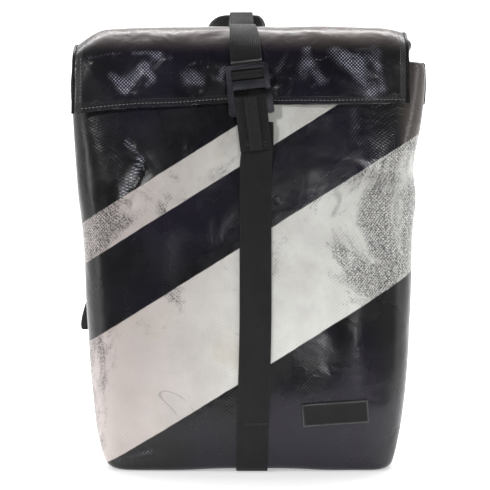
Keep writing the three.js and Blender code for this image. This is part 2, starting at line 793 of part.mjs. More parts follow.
// The bare rubber patch, with a raised rim.
function namePatch() {
  const turn = degrees(patch_turn);
  return shapedBox(12, 4, 1, (across, along, thick) => {
    const right = (across - 0.5) * patch_width;
    const up = (along - 0.5) * patch_height;
    const x = patch_x + right * Math.cos(turn) - up * Math.sin(turn);
    const z = patch_z + right * Math.sin(turn) + up * Math.cos(turn);
    const inside = Math.min(patch_width / 2 - Math.abs(right), patch_height / 2 - Math.abs(up));
    const edge = inside < rim_width;
    const stand = thick * (patch_thickness + (edge ? patch_rim : 0));
    return point(x, frontAt(x, z) - lie_gap - stand, z);
  });
}

// The snap that shows beside the strap.
function snapStud() {
  const profile = [
    new THREE.Vector2(0, 0),
    new THREE.Vector2(snap_radius, 0),
    new THREE.Vector2(snap_radius, snap_height * 0.4),
    new THREE.Vector2(snap_radius * 0.75, snap_height),
    new THREE.Vector2(snap_radius * 0.4, snap_height * 0.7),
    new THREE.Vector2(0, snap_height * 0.7),
  ];
  const stud = new THREE.LatheGeometry(profile, 14);
  stud.rotateX(Math.PI);
  const seats = [-1, 0, 1].map((share) => frontAt(snap_x + share * snap_radius, snap_z));
  stud.translate(snap_x, Math.min(...seats) - 1.5 * lie_gap, snap_z);
  return stud;
}

// The tape over the top corner of a side gusset, which stands out beside the flap.
function gussetBinding(side) {
  const stand = seam_gap + webbing_thickness / 2;
  const stations = [];
  const reach = (z) => (side < 0 ? bodySection(z).left : bodySection(z).right);
  const add = (x, z) => stations.push({ at: point(side * x, 0, z), across: Y.clone().multiplyScalar(side) });
  for (const rise of [0.9, 0.925, 0.95, 0.975, 0.995]) {
    add(reach(body_height * rise) + stand, body_height * rise);
  }
  add(reach(body_height) + stand * 0.6, body_height + stand * 0.8);
  add(reach(body_height + 1) + stand * 0.2, body_height + 1 + stand * 1.3);
  const inner = side < 0 ? flap_left : flap_right;
  const clear = inner + binding_width + gusset_tape_over;
  add(Math.max(clear, reach(body_height + gusset_tape_over)), body_height + gusset_tape_over + stand);
  return ribbon(stations, gusset_tape_width, webbing_thickness * 0.8);
}

// The y of the back's outer face, round its corners too.
function backSurface(x, z) {
  const section = bodySection(z);
  const side = x < 0 ? section.left : section.right;
  const past = THREE.MathUtils.clamp(Math.abs(x) - (side - section.round), 0, section.round);
  return section.back - section.round + Math.sqrt(section.round ** 2 - past ** 2);
}

// The yoke: a sheet over the upper ends of both shoulder straps.
function backYoke() {
  return shapedBox(16, 3, 1, (across, along, thick) => {
    const x = (0.5 - across) * yoke_width;
    const z = yoke_top - (1 - along) * yoke_height;
    const beside = Math.min(Math.abs(x) - yoke_spine, yoke_width / 2 - Math.abs(x)) / yoke_spine;
    const over = smooth(beside, 0, 0.5) * smooth(1 - along, 0.05, 0.3);
    const stand = lie_gap + over * (pad_end + 3 * lie_gap) + thick * yoke_thickness;
    return point(x, backSurface(x, z) + stand, z);
  });
}

// A shoulder strap's stations down the back, between two shares of its length.
function courseDownBack(side, from, to, steps) {
  const spots = strap_course.map((row) => {
    const x = side * row.out * half_width * (side < 0 ? 1 : pad_right_share);
    const z = row.rise * body_height;
    return point(x, backSurface(x, z) + row.stand * body_depth, z);
  });
  const curve = new THREE.CatmullRomCurve3(spots);
  const lock_run = curve.getPointAt(lock_share).sub(curve.getPointAt(pad_share));
  const stations = [];
  for (let i = 0; i <= steps; i += 1) {
    const share = mix(from, to, i / steps);
    const inLock = share >= pad_share && share <= lock_share;
    const course = inLock ? lock_run : curve.getTangentAt(share);
    stations.push({ at: curve.getPointAt(share), across: Y.clone().cross(course).normalize() });
  }
  return stations;
}

function shoulderPad(side) {
  const stations = courseDownBack(side, 0, pad_share, 16);
  const faces = facesOf(stations);
  return shapedBox(4, stations.length - 1, 1, (across, along, thick) => {
    const i = Math.round(along * (stations.length - 1));
    const crown = 1 - (2 * across - 1) ** 4;
    const swell = smooth(along, 0.1, 0.25) * smooth(1 - along, 0, 0.1);
    const height = mix(pad_end, mix(pad_edge, pad_thickness, crown), swell);
    const fullness = Math.min(smooth(along, 0, 0.3), smooth(1 - along, -0.08, 0.12));
    const width = mix(pad_end_width, pad_width, fullness);
    return stations[i].at
      .clone()
      .addScaledVector(stations[i].across, (across - 0.5) * width)
      .addScaledVector(faces[i], (thick - 0.5) * height);
  });
}

function shoulderWeb(side) {
  return ribbon(courseDownBack(side, lock_share, 1, 10), web_width, web_thickness);
}

// The lock between a pad and its webbing: one plain plate.
function ladderLock(side) {
  const [pad, web] = courseDownBack(side, pad_share, lock_share, 1);
  const run = pad.at.clone().sub(web.at);
  const height = run.length() - 2 * lie_gap;
  const wide = web_width / 2 + slot_clearance + lock_wall;
  const high = height / 2;
  const outline = roundedShape([[-wide, -high], [wide, -high], [wide, high], [-wide, high]], lock_wall / 2);
  const plate = new THREE.ExtrudeGeometry(outline, {
    depth: lock_thickness,
    bevelEnabled: false,
    curveSegments: 2,
  });
  plate.translate(0, 0, -lock_thickness / 2);
  const up = run.normalize();
  const out = pad.across.clone().cross(up.clone().negate()).normalize();
  const right = up.clone().cross(out).normalize();
  const place = new THREE.Matrix4().makeBasis(right, up, out);
  plate.applyMatrix4(place);
  const middle = pad.at.clone().add(web.at).multiplyScalar(0.5);
  plate.translate(middle.x, middle.y, middle.z);
  return plate;
}

// The tarp tab at a corner of the base that holds the webbing's end.
function baseTab(side) {
  const web = courseDownBack(side, lock_share, 1, 1).at(-1);
  const top = web.at.z - (Math.abs(web.across.z) * web_width) / 2 - web_thickness / 2;
  return shapedBox(8, 3, 1, (across, along, thick) => {
    const width = mix(tab_foot_width, web_width + 4, along);
    const x = web.at.x + (0.5 - across) * width;
    const z = mix(base_edge, top, along);
    return point(x, backSurface(x, z) + 2 * lie_gap + thick * tab_thickness, z);
  });
}

const root = new THREE.Group();
function add(name, geometry, material, parent = root) {
  const mesh = new THREE.Mesh(geometry, material);
  mesh.name = name;
  parent.add(mesh);
  return mesh;
}

add("tarp_body", tarpBody(), dark_tarp);
add("roll_flap", rollFlap(), dark_tarp);
add("flap_binding_left", flapBinding(-1), black_tarp);
add("flap_binding_right", flapBinding(1), black_tarp);
add("bellows_left", bellows(-1), black_tarp);
add("bellows_right", bellows(1), black_tarp);
add("gusset_binding_left", gussetBinding(-1), black_tarp);
add("gusset_binding_right", gussetBinding(1), black_tarp);
add("upper_strap", upperStrap(), black_webbing);
add("lower_strap", lowerStrap(), black_webbing);
add("strap_loop", strapLoop(), black_webbing);
add("loop_band", loopBand(), black_webbing);
add("carry_handle", carryHandle(), black_webbing);
add("name_patch", namePatch(), black_rubber);
add("snap_stud", snapStud(), steel);
const buckle = add("hook_buckle", hookBuckle(), dark_metal);
buckle.applyMatrix4(buckle_axes);
buckle.position.copy(buckle_at);
for (const [side, label] of [[-1, "left"], [1, "right"]]) {
  add("shoulder_strap_" + label, shoulderPad(side), black_webbing);
  add("strap_web_" + label, shoulderWeb(side), black_webbing);
  add("ladder_lock_" + label, ladderLock(side), black_plastic);
  add("base_tab_" + label, baseTab(side), black_tarp);
}
add("back_yoke", backYoke(), black_tarp);

export default root;
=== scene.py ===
"""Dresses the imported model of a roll-top backpack of used truck tarp for its picture."""

import json
import math

import bmesh
import bpy
import numpy as np
from bpy.props import FloatProperty, FloatVectorProperty, PointerProperty
from mathutils import Matrix, Vector, noise

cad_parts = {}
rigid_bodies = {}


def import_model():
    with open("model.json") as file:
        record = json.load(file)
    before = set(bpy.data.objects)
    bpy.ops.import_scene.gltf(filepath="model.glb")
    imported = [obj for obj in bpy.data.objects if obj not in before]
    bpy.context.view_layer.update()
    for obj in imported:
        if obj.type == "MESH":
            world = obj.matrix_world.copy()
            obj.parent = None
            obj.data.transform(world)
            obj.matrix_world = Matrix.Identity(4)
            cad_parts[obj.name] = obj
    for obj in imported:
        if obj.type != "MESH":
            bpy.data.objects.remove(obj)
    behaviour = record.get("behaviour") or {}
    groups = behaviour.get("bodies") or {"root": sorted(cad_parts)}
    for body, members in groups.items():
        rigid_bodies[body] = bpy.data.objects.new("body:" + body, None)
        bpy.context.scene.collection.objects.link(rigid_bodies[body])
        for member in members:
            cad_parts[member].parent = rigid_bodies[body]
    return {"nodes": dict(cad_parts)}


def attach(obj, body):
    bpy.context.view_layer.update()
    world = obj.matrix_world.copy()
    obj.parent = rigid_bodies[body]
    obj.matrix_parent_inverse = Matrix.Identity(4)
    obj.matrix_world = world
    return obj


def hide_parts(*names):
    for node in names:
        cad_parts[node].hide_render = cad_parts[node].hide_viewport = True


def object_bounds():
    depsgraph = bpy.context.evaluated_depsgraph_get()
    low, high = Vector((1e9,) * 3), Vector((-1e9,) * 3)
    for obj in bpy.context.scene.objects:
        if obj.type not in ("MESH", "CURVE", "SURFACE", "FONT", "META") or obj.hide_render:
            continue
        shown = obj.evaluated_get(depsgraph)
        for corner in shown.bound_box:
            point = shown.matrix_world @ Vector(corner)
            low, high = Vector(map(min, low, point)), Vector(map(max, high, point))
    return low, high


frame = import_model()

bl_info = {
    "name": "Roll-top Backpack",
    "version": (1, 0, 0),
    "blender": (4, 5, 0),
    "location": "View3D > Sidebar > Backpack",
    "description": "Makes the tarp, webbing, metal and padding of a roll-top backpack",
    "category": "Object",
}

MODEL_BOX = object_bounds()
MM = 0.001
BODY = "root"
INWARD = Vector((0.0, 1.0, 0.0))

# The patch's middle, tilt and half size, as the model has them
PATCH_X = 0.092
PATCH_Z = 0.068
PATCH_TURN = math.radians(3.9)
PATCH_HALF = (0.0352, 0.0112)

# Settings


def length(name, default, description):
    """A length in metres, as a property."""
    return FloatProperty(name=name, description=description, default=default, unit="LENGTH", precision=5)


def colour(name, default, description):
    """A linear colour, as a property."""
    return FloatVectorProperty(
        name=name, description=description, default=default, subtype="COLOR", size=3, min=0.0, max=1.0
    )


def number(name, default, description):
    """A plain number, as a property."""
    return FloatProperty(name=name, description=description, default=default, precision=4)


class TarpSettings(bpy.types.PropertyGroup):
    """The coated cloth of the bag and its flap."""

    dark: colour("Dark", (0.007, 0.007, 0.0085), "Ground colour of the dark tarp")
    tint: colour("Tint", (0.0155, 0.0125, 0.024), "Violet cast of the dark tarp in patches")
    pale: colour("Pale", (0.84, 0.84, 0.80), "Pale stripes, near the middle")
    blush: colour("Blush", (0.60, 0.53, 0.51), "Pale stripes, towards the left")
    mark: colour("Marks", (0.045, 0.045, 0.05), "Scuffs on the pale stripes")
    faded: colour("Faded", (0.016, 0.016, 0.0165), "Greyed cloth towards the left")
    rubbed: colour("Rubbed", (0.028, 0.027, 0.028), "Greyed cloth at the right edge")
    # Colour and share of the painted highlights laid along the marked creases
    painted_highlight: colour("Gleam", (0.62, 0.63, 0.78), "Coating whitened along a crease")
    painted_highlight_share: number("Crease share", 0.85, "How much of the whitening shows")
    # Brownish grey laid on the top of the right gusset
    gusset: colour("Gusset", (0.105, 0.088, 0.080), "Faded cloth at the right gusset's top")
    weave: length("Weave", 0.0029, "Pitch of the cloth's threads under the coating")
    slope: number("Stripe slope", -0.56, "The stripes' fall to the right, in radians, below 0 for a rise")
    wide_from: length("Wide stripe from", 0.093, "Where the wide stripe starts, square to it")
    wide_to: length("Wide stripe to", 0.219, "Where the wide stripe ends, square to it")
    thin_from: length("Thin stripe from", 0.295, "Where the thin stripe starts, square to it")
    thin_to: length("Thin stripe to", 0.335, "Where the thin stripe ends, square to it")
    swell: length("Swell", 0.0011, "Height of the cloth's soft unevenness")


class WebbingSettings(bpy.types.PropertyGroup):
    """The webbing of the straps and the handle."""

    black: colour("Black", (0.005, 0.005, 0.0055), "Ground colour of the webbing")
    wear_and_highlight: colour("Worn", (0.017, 0.0168, 0.0175), "Raised and rubbed threads")
    rib: length("Rib", 0.0022, "Pitch of the ribs across the webbing")
    pick: length("Pick", 0.0016, "Pitch of the threads along the webbing")


class StitchSettings(bpy.types.PropertyGroup):
    """The sewing thread."""

    pitch: length("Pitch", 0.0042, "From one stitch to the next")
    stitch: length("Stitch", 0.0031, "Length of one stitch")
    thread: length("Thread", 0.00045, "Radius of the thread")
    inset: length("Inset", 0.0047, "From the flap's lower edge to its row of stitches")


class StageSettings(bpy.types.PropertyGroup):
    """The floor, the light and the camera."""

    distance: length("Distance", 1.35, "From the camera to the front of the bag")
    rise: number("Rise", 3.5, "The camera's elevation, in degrees")
    turn: number("Turn", 0.0, "The camera's azimuth, in degrees")
    aim_x: length("Aim across", -0.0076, "Where the camera looks, across the bag")
    aim_z: length("Aim height", 0.254, "Where the camera looks, above the floor")
    span: length("Span", 0.534, "What the picture takes in at the front of the bag")


def settings(kind):
    """One of this scene's property groups."""
    return getattr(bpy.context.scene, "bag_" + kind)


# Shaping the copies of the solids
def deselect():
    """Selects nothing."""
    bpy.ops.object.select_all(action="DESELECT")


def activate(piece):
    """Makes a piece the only selected object, and the active one."""
    deselect()
    piece.select_set(True)
    bpy.context.view_layer.objects.active = piece


def copy_of(node, name):
    """A copy of a model solid's mesh, with its doubles merged and its triangles paired."""
    piece = bpy.data.objects.new(name, frame["nodes"][node].data.copy())
    bpy.context.scene.collection.objects.link(piece)
    piece.data.materials.clear()
    activate(piece)
    bpy.ops.mesh.customdata_custom_splitnormals_clear()
    bpy.ops.object.mode_set(mode="EDIT")
    bpy.ops.mesh.select_all(action="SELECT")
    bpy.ops.mesh.remove_doubles(threshold=0.02 * MM)
    bpy.ops.mesh.tris_convert_to_quads(face_threshold=math.pi, shape_threshold=math.pi)
    bpy.ops.object.mode_set(mode="OBJECT")
    return piece


def crease(piece, degrees, weight):
    """Keeps a piece's corners sharper than an angle from being rounded away."""
    mesh = bmesh.new()
    mesh.from_mesh(piece.data)
    layer = mesh.edges.layers.float.new("crease_edge")
    for edge in mesh.edges:
        if edge.calc_face_angle(0.0) > math.radians(degrees):
            edge[layer] = weight
    mesh.to_mesh(piece.data)
    mesh.free()


def apply_modifier(piece, kind, **values):
    """Adds a modifier and applies it."""
    activate(piece)
    made = piece.modifiers.new(kind.title(), kind)
    for key, value in values.items():
        setattr(made, key, value)
    bpy.ops.object.modifier_apply(modifier=made.name)


def subdivide(piece, levels):
    """Rounds a piece by subdivision."""
    apply_modifier(piece, "SUBSURF", levels=levels, render_levels=levels)


def bevel_edges(piece, width, segments, degrees, **values):
    """Rounds a piece's edges that are sharper than an angle."""
    values.update(width=width, segments=segments, limit_method="ANGLE", angle_limit=math.radians(degrees))
    apply_modifier(piece, "BEVEL", **values)


def smooth(piece, degrees=35):
    """Shades a piece smooth, apart from its sharp edges."""
    activate(piece)
    bpy.ops.object.shade_smooth_by_angle(angle=math.radians(degrees))


def finish(piece, material, slot, *nodes):
    """Places a piece in its solids' stead. It keeps its own materials if none is given."""
    if material is not None:
        piece.data.materials.clear()
        piece.data.materials.append(material)
    smooth(piece)
    if nodes:
        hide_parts(*nodes)
    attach(piece, BODY)


def rings_of(piece, count, score):
    """The stations of a strip, each of count vertices, from the end that scores least."""
    mesh = piece.data
    near = [[] for _ in mesh.vertices]
    for edge in mesh.edges:
        a, b = edge.vertices
        near[a].append(b)
        near[b].append(a)
    first = sorted(range(len(mesh.vertices)), key=lambda i: score(mesh.vertices[i].co))[:count]
    rings = [first]
    seen = set(first)
    while True:
        ring = sorted({j for i in rings[-1] for j in near[i]} - seen)
        if not ring:
            break
        seen.update(ring)
        rings.append(ring)
    if any(len(ring) != count for ring in rings):
        raise ValueError(f"{piece.name} has stations of {sorted({len(r) for r in rings})} vertices")
    return rings


def lay_along(piece, count, score):
    """Lays a UV map in metres: u across the strip and v along its course."""
    mesh = piece.data
    places = np.array([v.co for v in mesh.vertices])
    across_at = np.zeros(len(places))
    along_at = np.zeros(len(places))
    before = None
    axis = np.array((1.0, 0.0, 0.0))
    run = 0.0
    for ring in rings_of(piece, count, score):
        spots = places[ring]
        middle = spots.mean(axis=0)
        spread = np.linalg.svd(spots - middle)[2][0]
        axis = spread if spread @ axis > 0 else -spread
        if before is not None:
            run += float(np.linalg.norm(middle - before))
        before = middle
        across_at[ring] = (spots - middle) @ axis
        along_at[ring] = run
    layer = mesh.uv_layers.new(name="Course")
    for loop in mesh.loops:
        layer.data[loop.index].uv = (across_at[loop.vertex_index], along_at[loop.vertex_index])
    return run


def lay_round(piece, half_x, half_y, squareness=5.0):
    """Lays a UV map in metres: u round the girth from the middle of the front, v up."""
    sweep = np.linspace(-math.pi, math.pi, 721)
    ring_x = half_x * np.sign(np.sin(sweep)) * np.abs(np.sin(sweep)) ** (2 / squareness)
    ring_y = -half_y * np.sign(np.cos(sweep)) * np.abs(np.cos(sweep)) ** (2 / squareness)
    steps = np.hypot(np.diff(ring_x), np.diff(ring_y))
    run = np.concatenate([[0.0], np.cumsum(steps)])
    girth = run[-1]
    bearing = np.unwrap(np.arctan2(ring_x, -ring_y))
    mesh = piece.data
    layer = mesh.uv_layers.new(name="Course")
    places = np.array([v.co for v in mesh.vertices])
    angle = np.arctan2(places[:, 0], -places[:, 1])
    u = np.interp(angle, bearing, run) - girth / 2
    for face in mesh.polygons:
        spots = [mesh.loops[i].vertex_index for i in face.loop_indices]
        low = min(u[i] for i in spots)
        high = max(u[i] for i in spots)
        for i, spot in zip(face.loop_indices, spots):
            turn = girth if high - low > girth / 2 and u[spot] < 0 else 0.0
            layer.data[i].uv = (u[spot] + turn, places[spot][2])


def sculpt(piece, push):
    """Moves each vertex along its normal by what push(place, normal) says, in metres."""
    mesh = piece.data
    moved = []
    for vertex in mesh.vertices:
        place = vertex.co.copy()
        normal = vertex.normal.copy()
        moved.append(place + normal * push(place, normal))
    for vertex, place in zip(mesh.vertices, moved):
        vertex.co = place
    mesh.update()


def fold_height(folds, x, z):
    """The height of a table of folds at a place of the front, all in millimetres."""
    height = 0.0
    for x0, z0, x1, z1, reach, depth in folds:
        run_x, run_z = x1 - x0, z1 - z0
        share = ((x - x0) * run_x + (z - z0) * run_z) / (run_x * run_x + run_z * run_z)
        share = min(1.0, max(0.0, share))
        away = math.hypot(x - x0 - share * run_x, z - z0 - share * run_z) / reach
        if away < 3.0:
            height += depth * math.exp(-away * away)
    return height


def mark_painted_highlights(piece, table):
    """Gives each point of a piece's front how strongly a painted highlight shows there, by a table like the
    folds'.
    """
    layer = piece.data.attributes.new("PaintedHighlight", "FLOAT", "POINT")
    for vertex in piece.data.vertices:
        if vertex.co.y < 0:
            x = vertex.co.x / MM + 3 * swell(vertex.co, 0.018)
            z = vertex.co.z / MM + 3 * swell(vertex.co + INWARD, 0.018)
            strength = 0.85 + 0.5 * swell(vertex.co - INWARD, 0.012)
            layer.data[vertex.index].value = max(0.0, min(1.0, strength * fold_height(table, x, z)))


def refine(piece, wanted):
    """Cuts the faces whose middle and normal answer to wanted once more each way."""
    mesh = piece.data
    activate(piece)
    bpy.ops.object.mode_set(mode="EDIT")
    bpy.ops.mesh.select_all(action="DESELECT")
    bpy.ops.mesh.select_mode(type="FACE")
    bpy.ops.object.mode_set(mode="OBJECT")
    for face in mesh.polygons:
        face.select = wanted(face.center, face.normal)
    bpy.ops.object.mode_set(mode="EDIT")
    bpy.ops.mesh.subdivide(number_cuts=1, smoothness=1.0)
    bpy.ops.object.mode_set(mode="OBJECT")


def swell(place, scale):
    """Soft unevenness between -1 and 1 with features of about a scale in metres."""
    return noise.noise(place / scale)


# Materials
class Recipe:
    """A material's node tree, with short ways to add to it."""

    def __init__(self, name):
        self.material = bpy.data.materials.new(name)
        self.material.use_nodes = True
        self.tree = self.material.node_tree
        self.tree.nodes.clear()
        self.out = self.tree.nodes.new("ShaderNodeOutputMaterial")
        self.skin = self.tree.nodes.new("ShaderNodeBsdfPrincipled")
        self.tree.links.new(self.skin.outputs["BSDF"], self.out.inputs["Surface"])
        self.coords = self.tree.nodes.new("ShaderNodeTexCoord")

    def put(self, kind, inputs, **values):
        """Adds a node. inputs maps a socket's name or number to a value or a socket."""
        node = self.tree.nodes.new(kind)
        for key, value in values.items():
            setattr(node, key, value)
        for key, value in inputs.items():
            self.set(node.inputs[key], value)
        return node

    def set(self, socket, value):
        """Sets a socket, or links it to another."""
        if isinstance(value, bpy.types.NodeSocket):
            self.tree.links.new(value, socket)
        else:
            socket.default_value = value

    def math(self, operation, a, b=0.0, clamp=False):
        """The result of one operation."""
        return self.put("ShaderNodeMath", {0: a, 1: b}, operation=operation, use_clamp=clamp).outputs[0]

    def ramp(self, value, low, high, to_low=0.0, to_high=1.0):
        """A value carried smoothly from one range to another."""
        node = self.put(
            "ShaderNodeMapRange",
            {"Value": value, "From Min": low, "From Max": high, "To Min": to_low, "To Max": to_high},
            interpolation_type="SMOOTHSTEP",
        )
        return node.outputs["Result"]

    def blend(self, share, a, b):
        """One colour laid over another by a share."""
        a = (*a, 1.0) if isinstance(a, tuple) else a
        b = (*b, 1.0) if isinstance(b, tuple) else b
        node = self.put("ShaderNodeMix", {0: share, 6: a, 7: b}, data_type="RGBA")
        return node.outputs[2]

    def noise(self, scale, detail=4.0, rough=0.5, vector=None, distortion=0.0):
        """Noise between 0 and 1."""
        vector = self.coords.outputs["Object"] if vector is None else vector
        inputs = {"Vector": vector, "Scale": scale, "Detail": detail, "Roughness": rough}
        return self.put("ShaderNodeTexNoise", {**inputs, "Distortion": distortion}).outputs["Fac"]

    def stretched(self, scale, turn=(0.0, 0.0, 0.0)):
        """The piece's own coordinates, turned and then scaled along each axis."""
        turned = self.put("ShaderNodeMapping", {"Vector": self.coords.outputs["Object"], "Rotation": turn})
        return self.put("ShaderNodeMapping", {"Vector": turned.outputs[0], "Scale": scale}).outputs[0]

    def split(self, output):
        """The separate axes of one of the coordinate outputs."""
        node = self.put("ShaderNodeSeparateXYZ", {0: self.coords.outputs[output]})
        return node.outputs

    def lines(self, value, pitch):
        """A sine of a length, from -1 to 1, with a pitch."""
        return self.math("SINE", self.math("MULTIPLY", value, 2 * math.pi / pitch))

    def bump(self, height, distance, strength=1.0, under=None):
        """A relief with a height in metres, over another."""
        inputs = {"Height": height, "Distance": distance, "Strength": strength}
        if under is not None:
            inputs["Normal"] = under
        return self.put("ShaderNodeBump", inputs).outputs[0]

    def done(self, **inputs):
        """Sets the surface's sockets and hands the material over."""
        for key, value in inputs.items():
            value = (*value, 1.0) if isinstance(value, tuple) and len(value) == 3 else value
            self.set(self.skin.inputs[key.replace("_", " ")], value)
        return self.material


def triple(values):
    """A property's colour as a plain tuple."""
    return tuple(float(v) for v in values)


def tarp_relief(recipe, weave, crumple):
    """The tarp's normal, by how crumpled it is, and the threads that show through its coating."""
    u, v, _ = recipe.split("UV")
    threads = recipe.math("MULTIPLY", recipe.lines(u, weave * 1.3), recipe.lines(v, weave * 1.3))
    soft = recipe.noise(30.0, 2.5, 0.5, distortion=0.4)
    fine = recipe.noise(170.0, 4.0, 0.6)
    creased = recipe.noise(9.0, 5.0, 0.55, distortion=1.6)
    ridge = recipe.math("ABSOLUTE", recipe.math("SUBTRACT", creased, 0.5))
    line = recipe.ramp(ridge, 0.0, 0.018, 1.0, 0.0)
    normal = recipe.bump(soft, 0.0034 * crumple, 0.8)
    normal = recipe.bump(line, 0.00025 * crumple, 0.4, normal)
    normal = recipe.bump(fine, 0.00010, 0.5, normal)
    return recipe.bump(threads, 0.00004, 1.0, normal), threads


def tarp_scratches(recipe):
    """Fine scratches in two directions, and the streaks that the second ones are cut from."""
    along = recipe.noise(1.0, 6.0, 0.7, recipe.stretched((55.0, 55.0, 420.0), (0.0, 0.75, 0.0)))
    streaks = recipe.noise(1.0, 6.0, 0.7, recipe.stretched((420.0, 60.0, 45.0), (0.0, 0.3, 0.0)))
    dull = recipe.math("MAXIMUM", recipe.ramp(along, 0.66, 0.74), recipe.ramp(streaks, 0.68, 0.76))
    where = recipe.ramp(recipe.noise(11.0, 4.0, 0.6), 0.45, 0.62)
    return recipe.math("MULTIPLY", dull, where), streaks


def painted_highlight_mask(recipe, threads):
    """How strongly the painted highlights show along the marked creases, on the threads' high points."""
    # Painted highlight: the marked crease strength, broken up by noise and set on the threads' high points
    crease = recipe.put("ShaderNodeAttribute", {}, attribute_name="PaintedHighlight").outputs["Fac"]
    broken = recipe.ramp(recipe.noise(75.0, 6.0, 0.7, distortion=0.6), 0.36, 0.62, -0.45, 0.25)
    crease = recipe.math("MULTIPLY", crease, recipe.math("ADD", 1.0, broken))
    highlight_dots = recipe.ramp(recipe.noise(330.0, 5.0, 0.7), 0.3, 0.6, 0.45, 1.0)
    highlight_dots = recipe.math("MULTIPLY", highlight_dots, recipe.ramp(threads, 0.1, 0.45, 0.03, 1.0))
    return recipe.math("MULTIPLY", recipe.ramp(crease, 0.05, 1.15), highlight_dots)


def tarp_ground(recipe, tarp, threads, scratches):
    """The dark cloth, greyed towards its sides, with painted highlights along the marked creases, and
    scratched.
    """
    x, _, _ = recipe.split("Object")
    cloud = recipe.ramp(recipe.noise(7.0, 3.0), 0.42, 0.66)
    ground = recipe.blend(cloud, triple(tarp.dark), triple(tarp.tint))
    blotch = recipe.noise(5.0, 4.0, 0.55, distortion=0.4)
    across = recipe.math("ADD", x, recipe.math("MULTIPLY", blotch, 0.12))
    ground = recipe.blend(recipe.ramp(across, -0.135, -0.02, 0.85, 0.0), ground, triple(tarp.faded))
    ground = recipe.blend(recipe.ramp(across, 0.17, 0.25, 0.0, 0.8), ground, triple(tarp.rubbed))
    # Painted highlights laid over the ground along the marked creases
    white = recipe.math("MULTIPLY", painted_highlight_mask(recipe, threads), tarp.painted_highlight_share)
    ground = recipe.blend(white, ground, triple(tarp.painted_highlight))
    return recipe.blend(recipe.math("MULTIPLY", scratches, 0.35), ground, (0.16, 0.155, 0.15))


def tarp_roughness(recipe, scratches):
    """How dull the coating is, most where it is scratched."""
    rough = recipe.ramp(recipe.noise(16.0, 6.0, 0.6), 0.3, 0.7, 0.19, 0.36)
    return recipe.math("ADD", rough, recipe.math("MULTIPLY", scratches, 0.2))


def flap_tarp_material(course):
    """The flap's tarp, with a painted sheen over the ridge, and a hem at its course's end and at both
    sides.
    """
    hem_width, row_inset, fade = 0.0095, 0.0048, 0.001
    left_hem, right_hem = -0.1765, 0.1775
    tarp = settings("tarp")
    recipe = Recipe("Flap Tarp")
    _, _, z = recipe.split("Object")
    u, v, _ = recipe.split("UV")
    normal, threads = tarp_relief(recipe, tarp.weave, 1.0)
    scratches, _ = tarp_scratches(recipe)
    ground = tarp_ground(recipe, tarp, threads, scratches)
    # Painted sheen over the ridge: a pinkish brown laid on the top of the flap by height, broken up by
    # noise
    sheen_breakup = recipe.ramp(recipe.noise(28.0, 8.0, 0.72), 0.3, 0.7, 0.75, 1.0)
    painted_ridge_sheen = recipe.math("MULTIPLY", recipe.ramp(z, 0.464, 0.494), sheen_breakup)
    ground = recipe.blend(recipe.math("MULTIPLY", painted_ridge_sheen, 0.75), ground, (0.175, 0.142, 0.132))
    left = recipe.ramp(u, left_hem, left_hem + fade, 1.0, 0.0)
    ends = recipe.math("MAXIMUM", left, recipe.ramp(u, right_hem, right_hem + fade))
    band = recipe.blend(recipe.ramp(threads, -0.2, 0.6), (0.03, 0.03, 0.031), (0.14, 0.14, 0.145))
    ground = recipe.blend(recipe.math("MULTIPLY", ends, 0.7), ground, band)
    hem = recipe.ramp(v, course - hem_width, course - hem_width + 0.7 * fade)
    ground = recipe.blend(recipe.math("MULTIPLY", hem, 0.35), ground, (0.035, 0.035, 0.037))
    row = recipe.math("ABSOLUTE", recipe.math("SUBTRACT", v, course - row_inset))
    sunk = recipe.math("SUBTRACT", hem, recipe.ramp(row, 0.0003, 0.0016, 0.55, 0.0))
    normal = recipe.bump(recipe.math("MAXIMUM", sunk, ends), 0.0009, 1.0, normal)
    rough = tarp_roughness(recipe, scratches)
    return recipe.done(Base_Color=ground, Roughness=rough, Normal=normal, Specular_IOR_Level=0.4)


def stripe_share(recipe, tarp):
    """Where the two pale stripes are, on the front and the front halves of the sides."""
    x, y, z = recipe.split("Object")
    wobble = recipe.math("MULTIPLY", recipe.math("SUBTRACT", recipe.noise(60.0, 3.0), 0.5), 0.0016)
    fall = recipe.math("MULTIPLY", x, math.sin(tarp.slope))
    square = recipe.math("ADD", fall, recipe.math("MULTIPLY", z, math.cos(tarp.slope)))
    square = recipe.math("ADD", square, wobble)
    edge = 0.0006
    stripes = []
    for start, end in ((tarp.wide_from, tarp.wide_to), (tarp.thin_from, tarp.thin_to)):
        inside = recipe.ramp(square, start - edge, start + edge)
        past = recipe.ramp(square, end - edge, end + edge, 1.0, 0.0)
        stripes.append(recipe.math("MULTIPLY", inside, past))
    in_front = recipe.ramp(y, 0.02, 0.022, 1.0, 0.0)
    return recipe.math("MULTIPLY", recipe.math("MAXIMUM", *stripes), in_front)


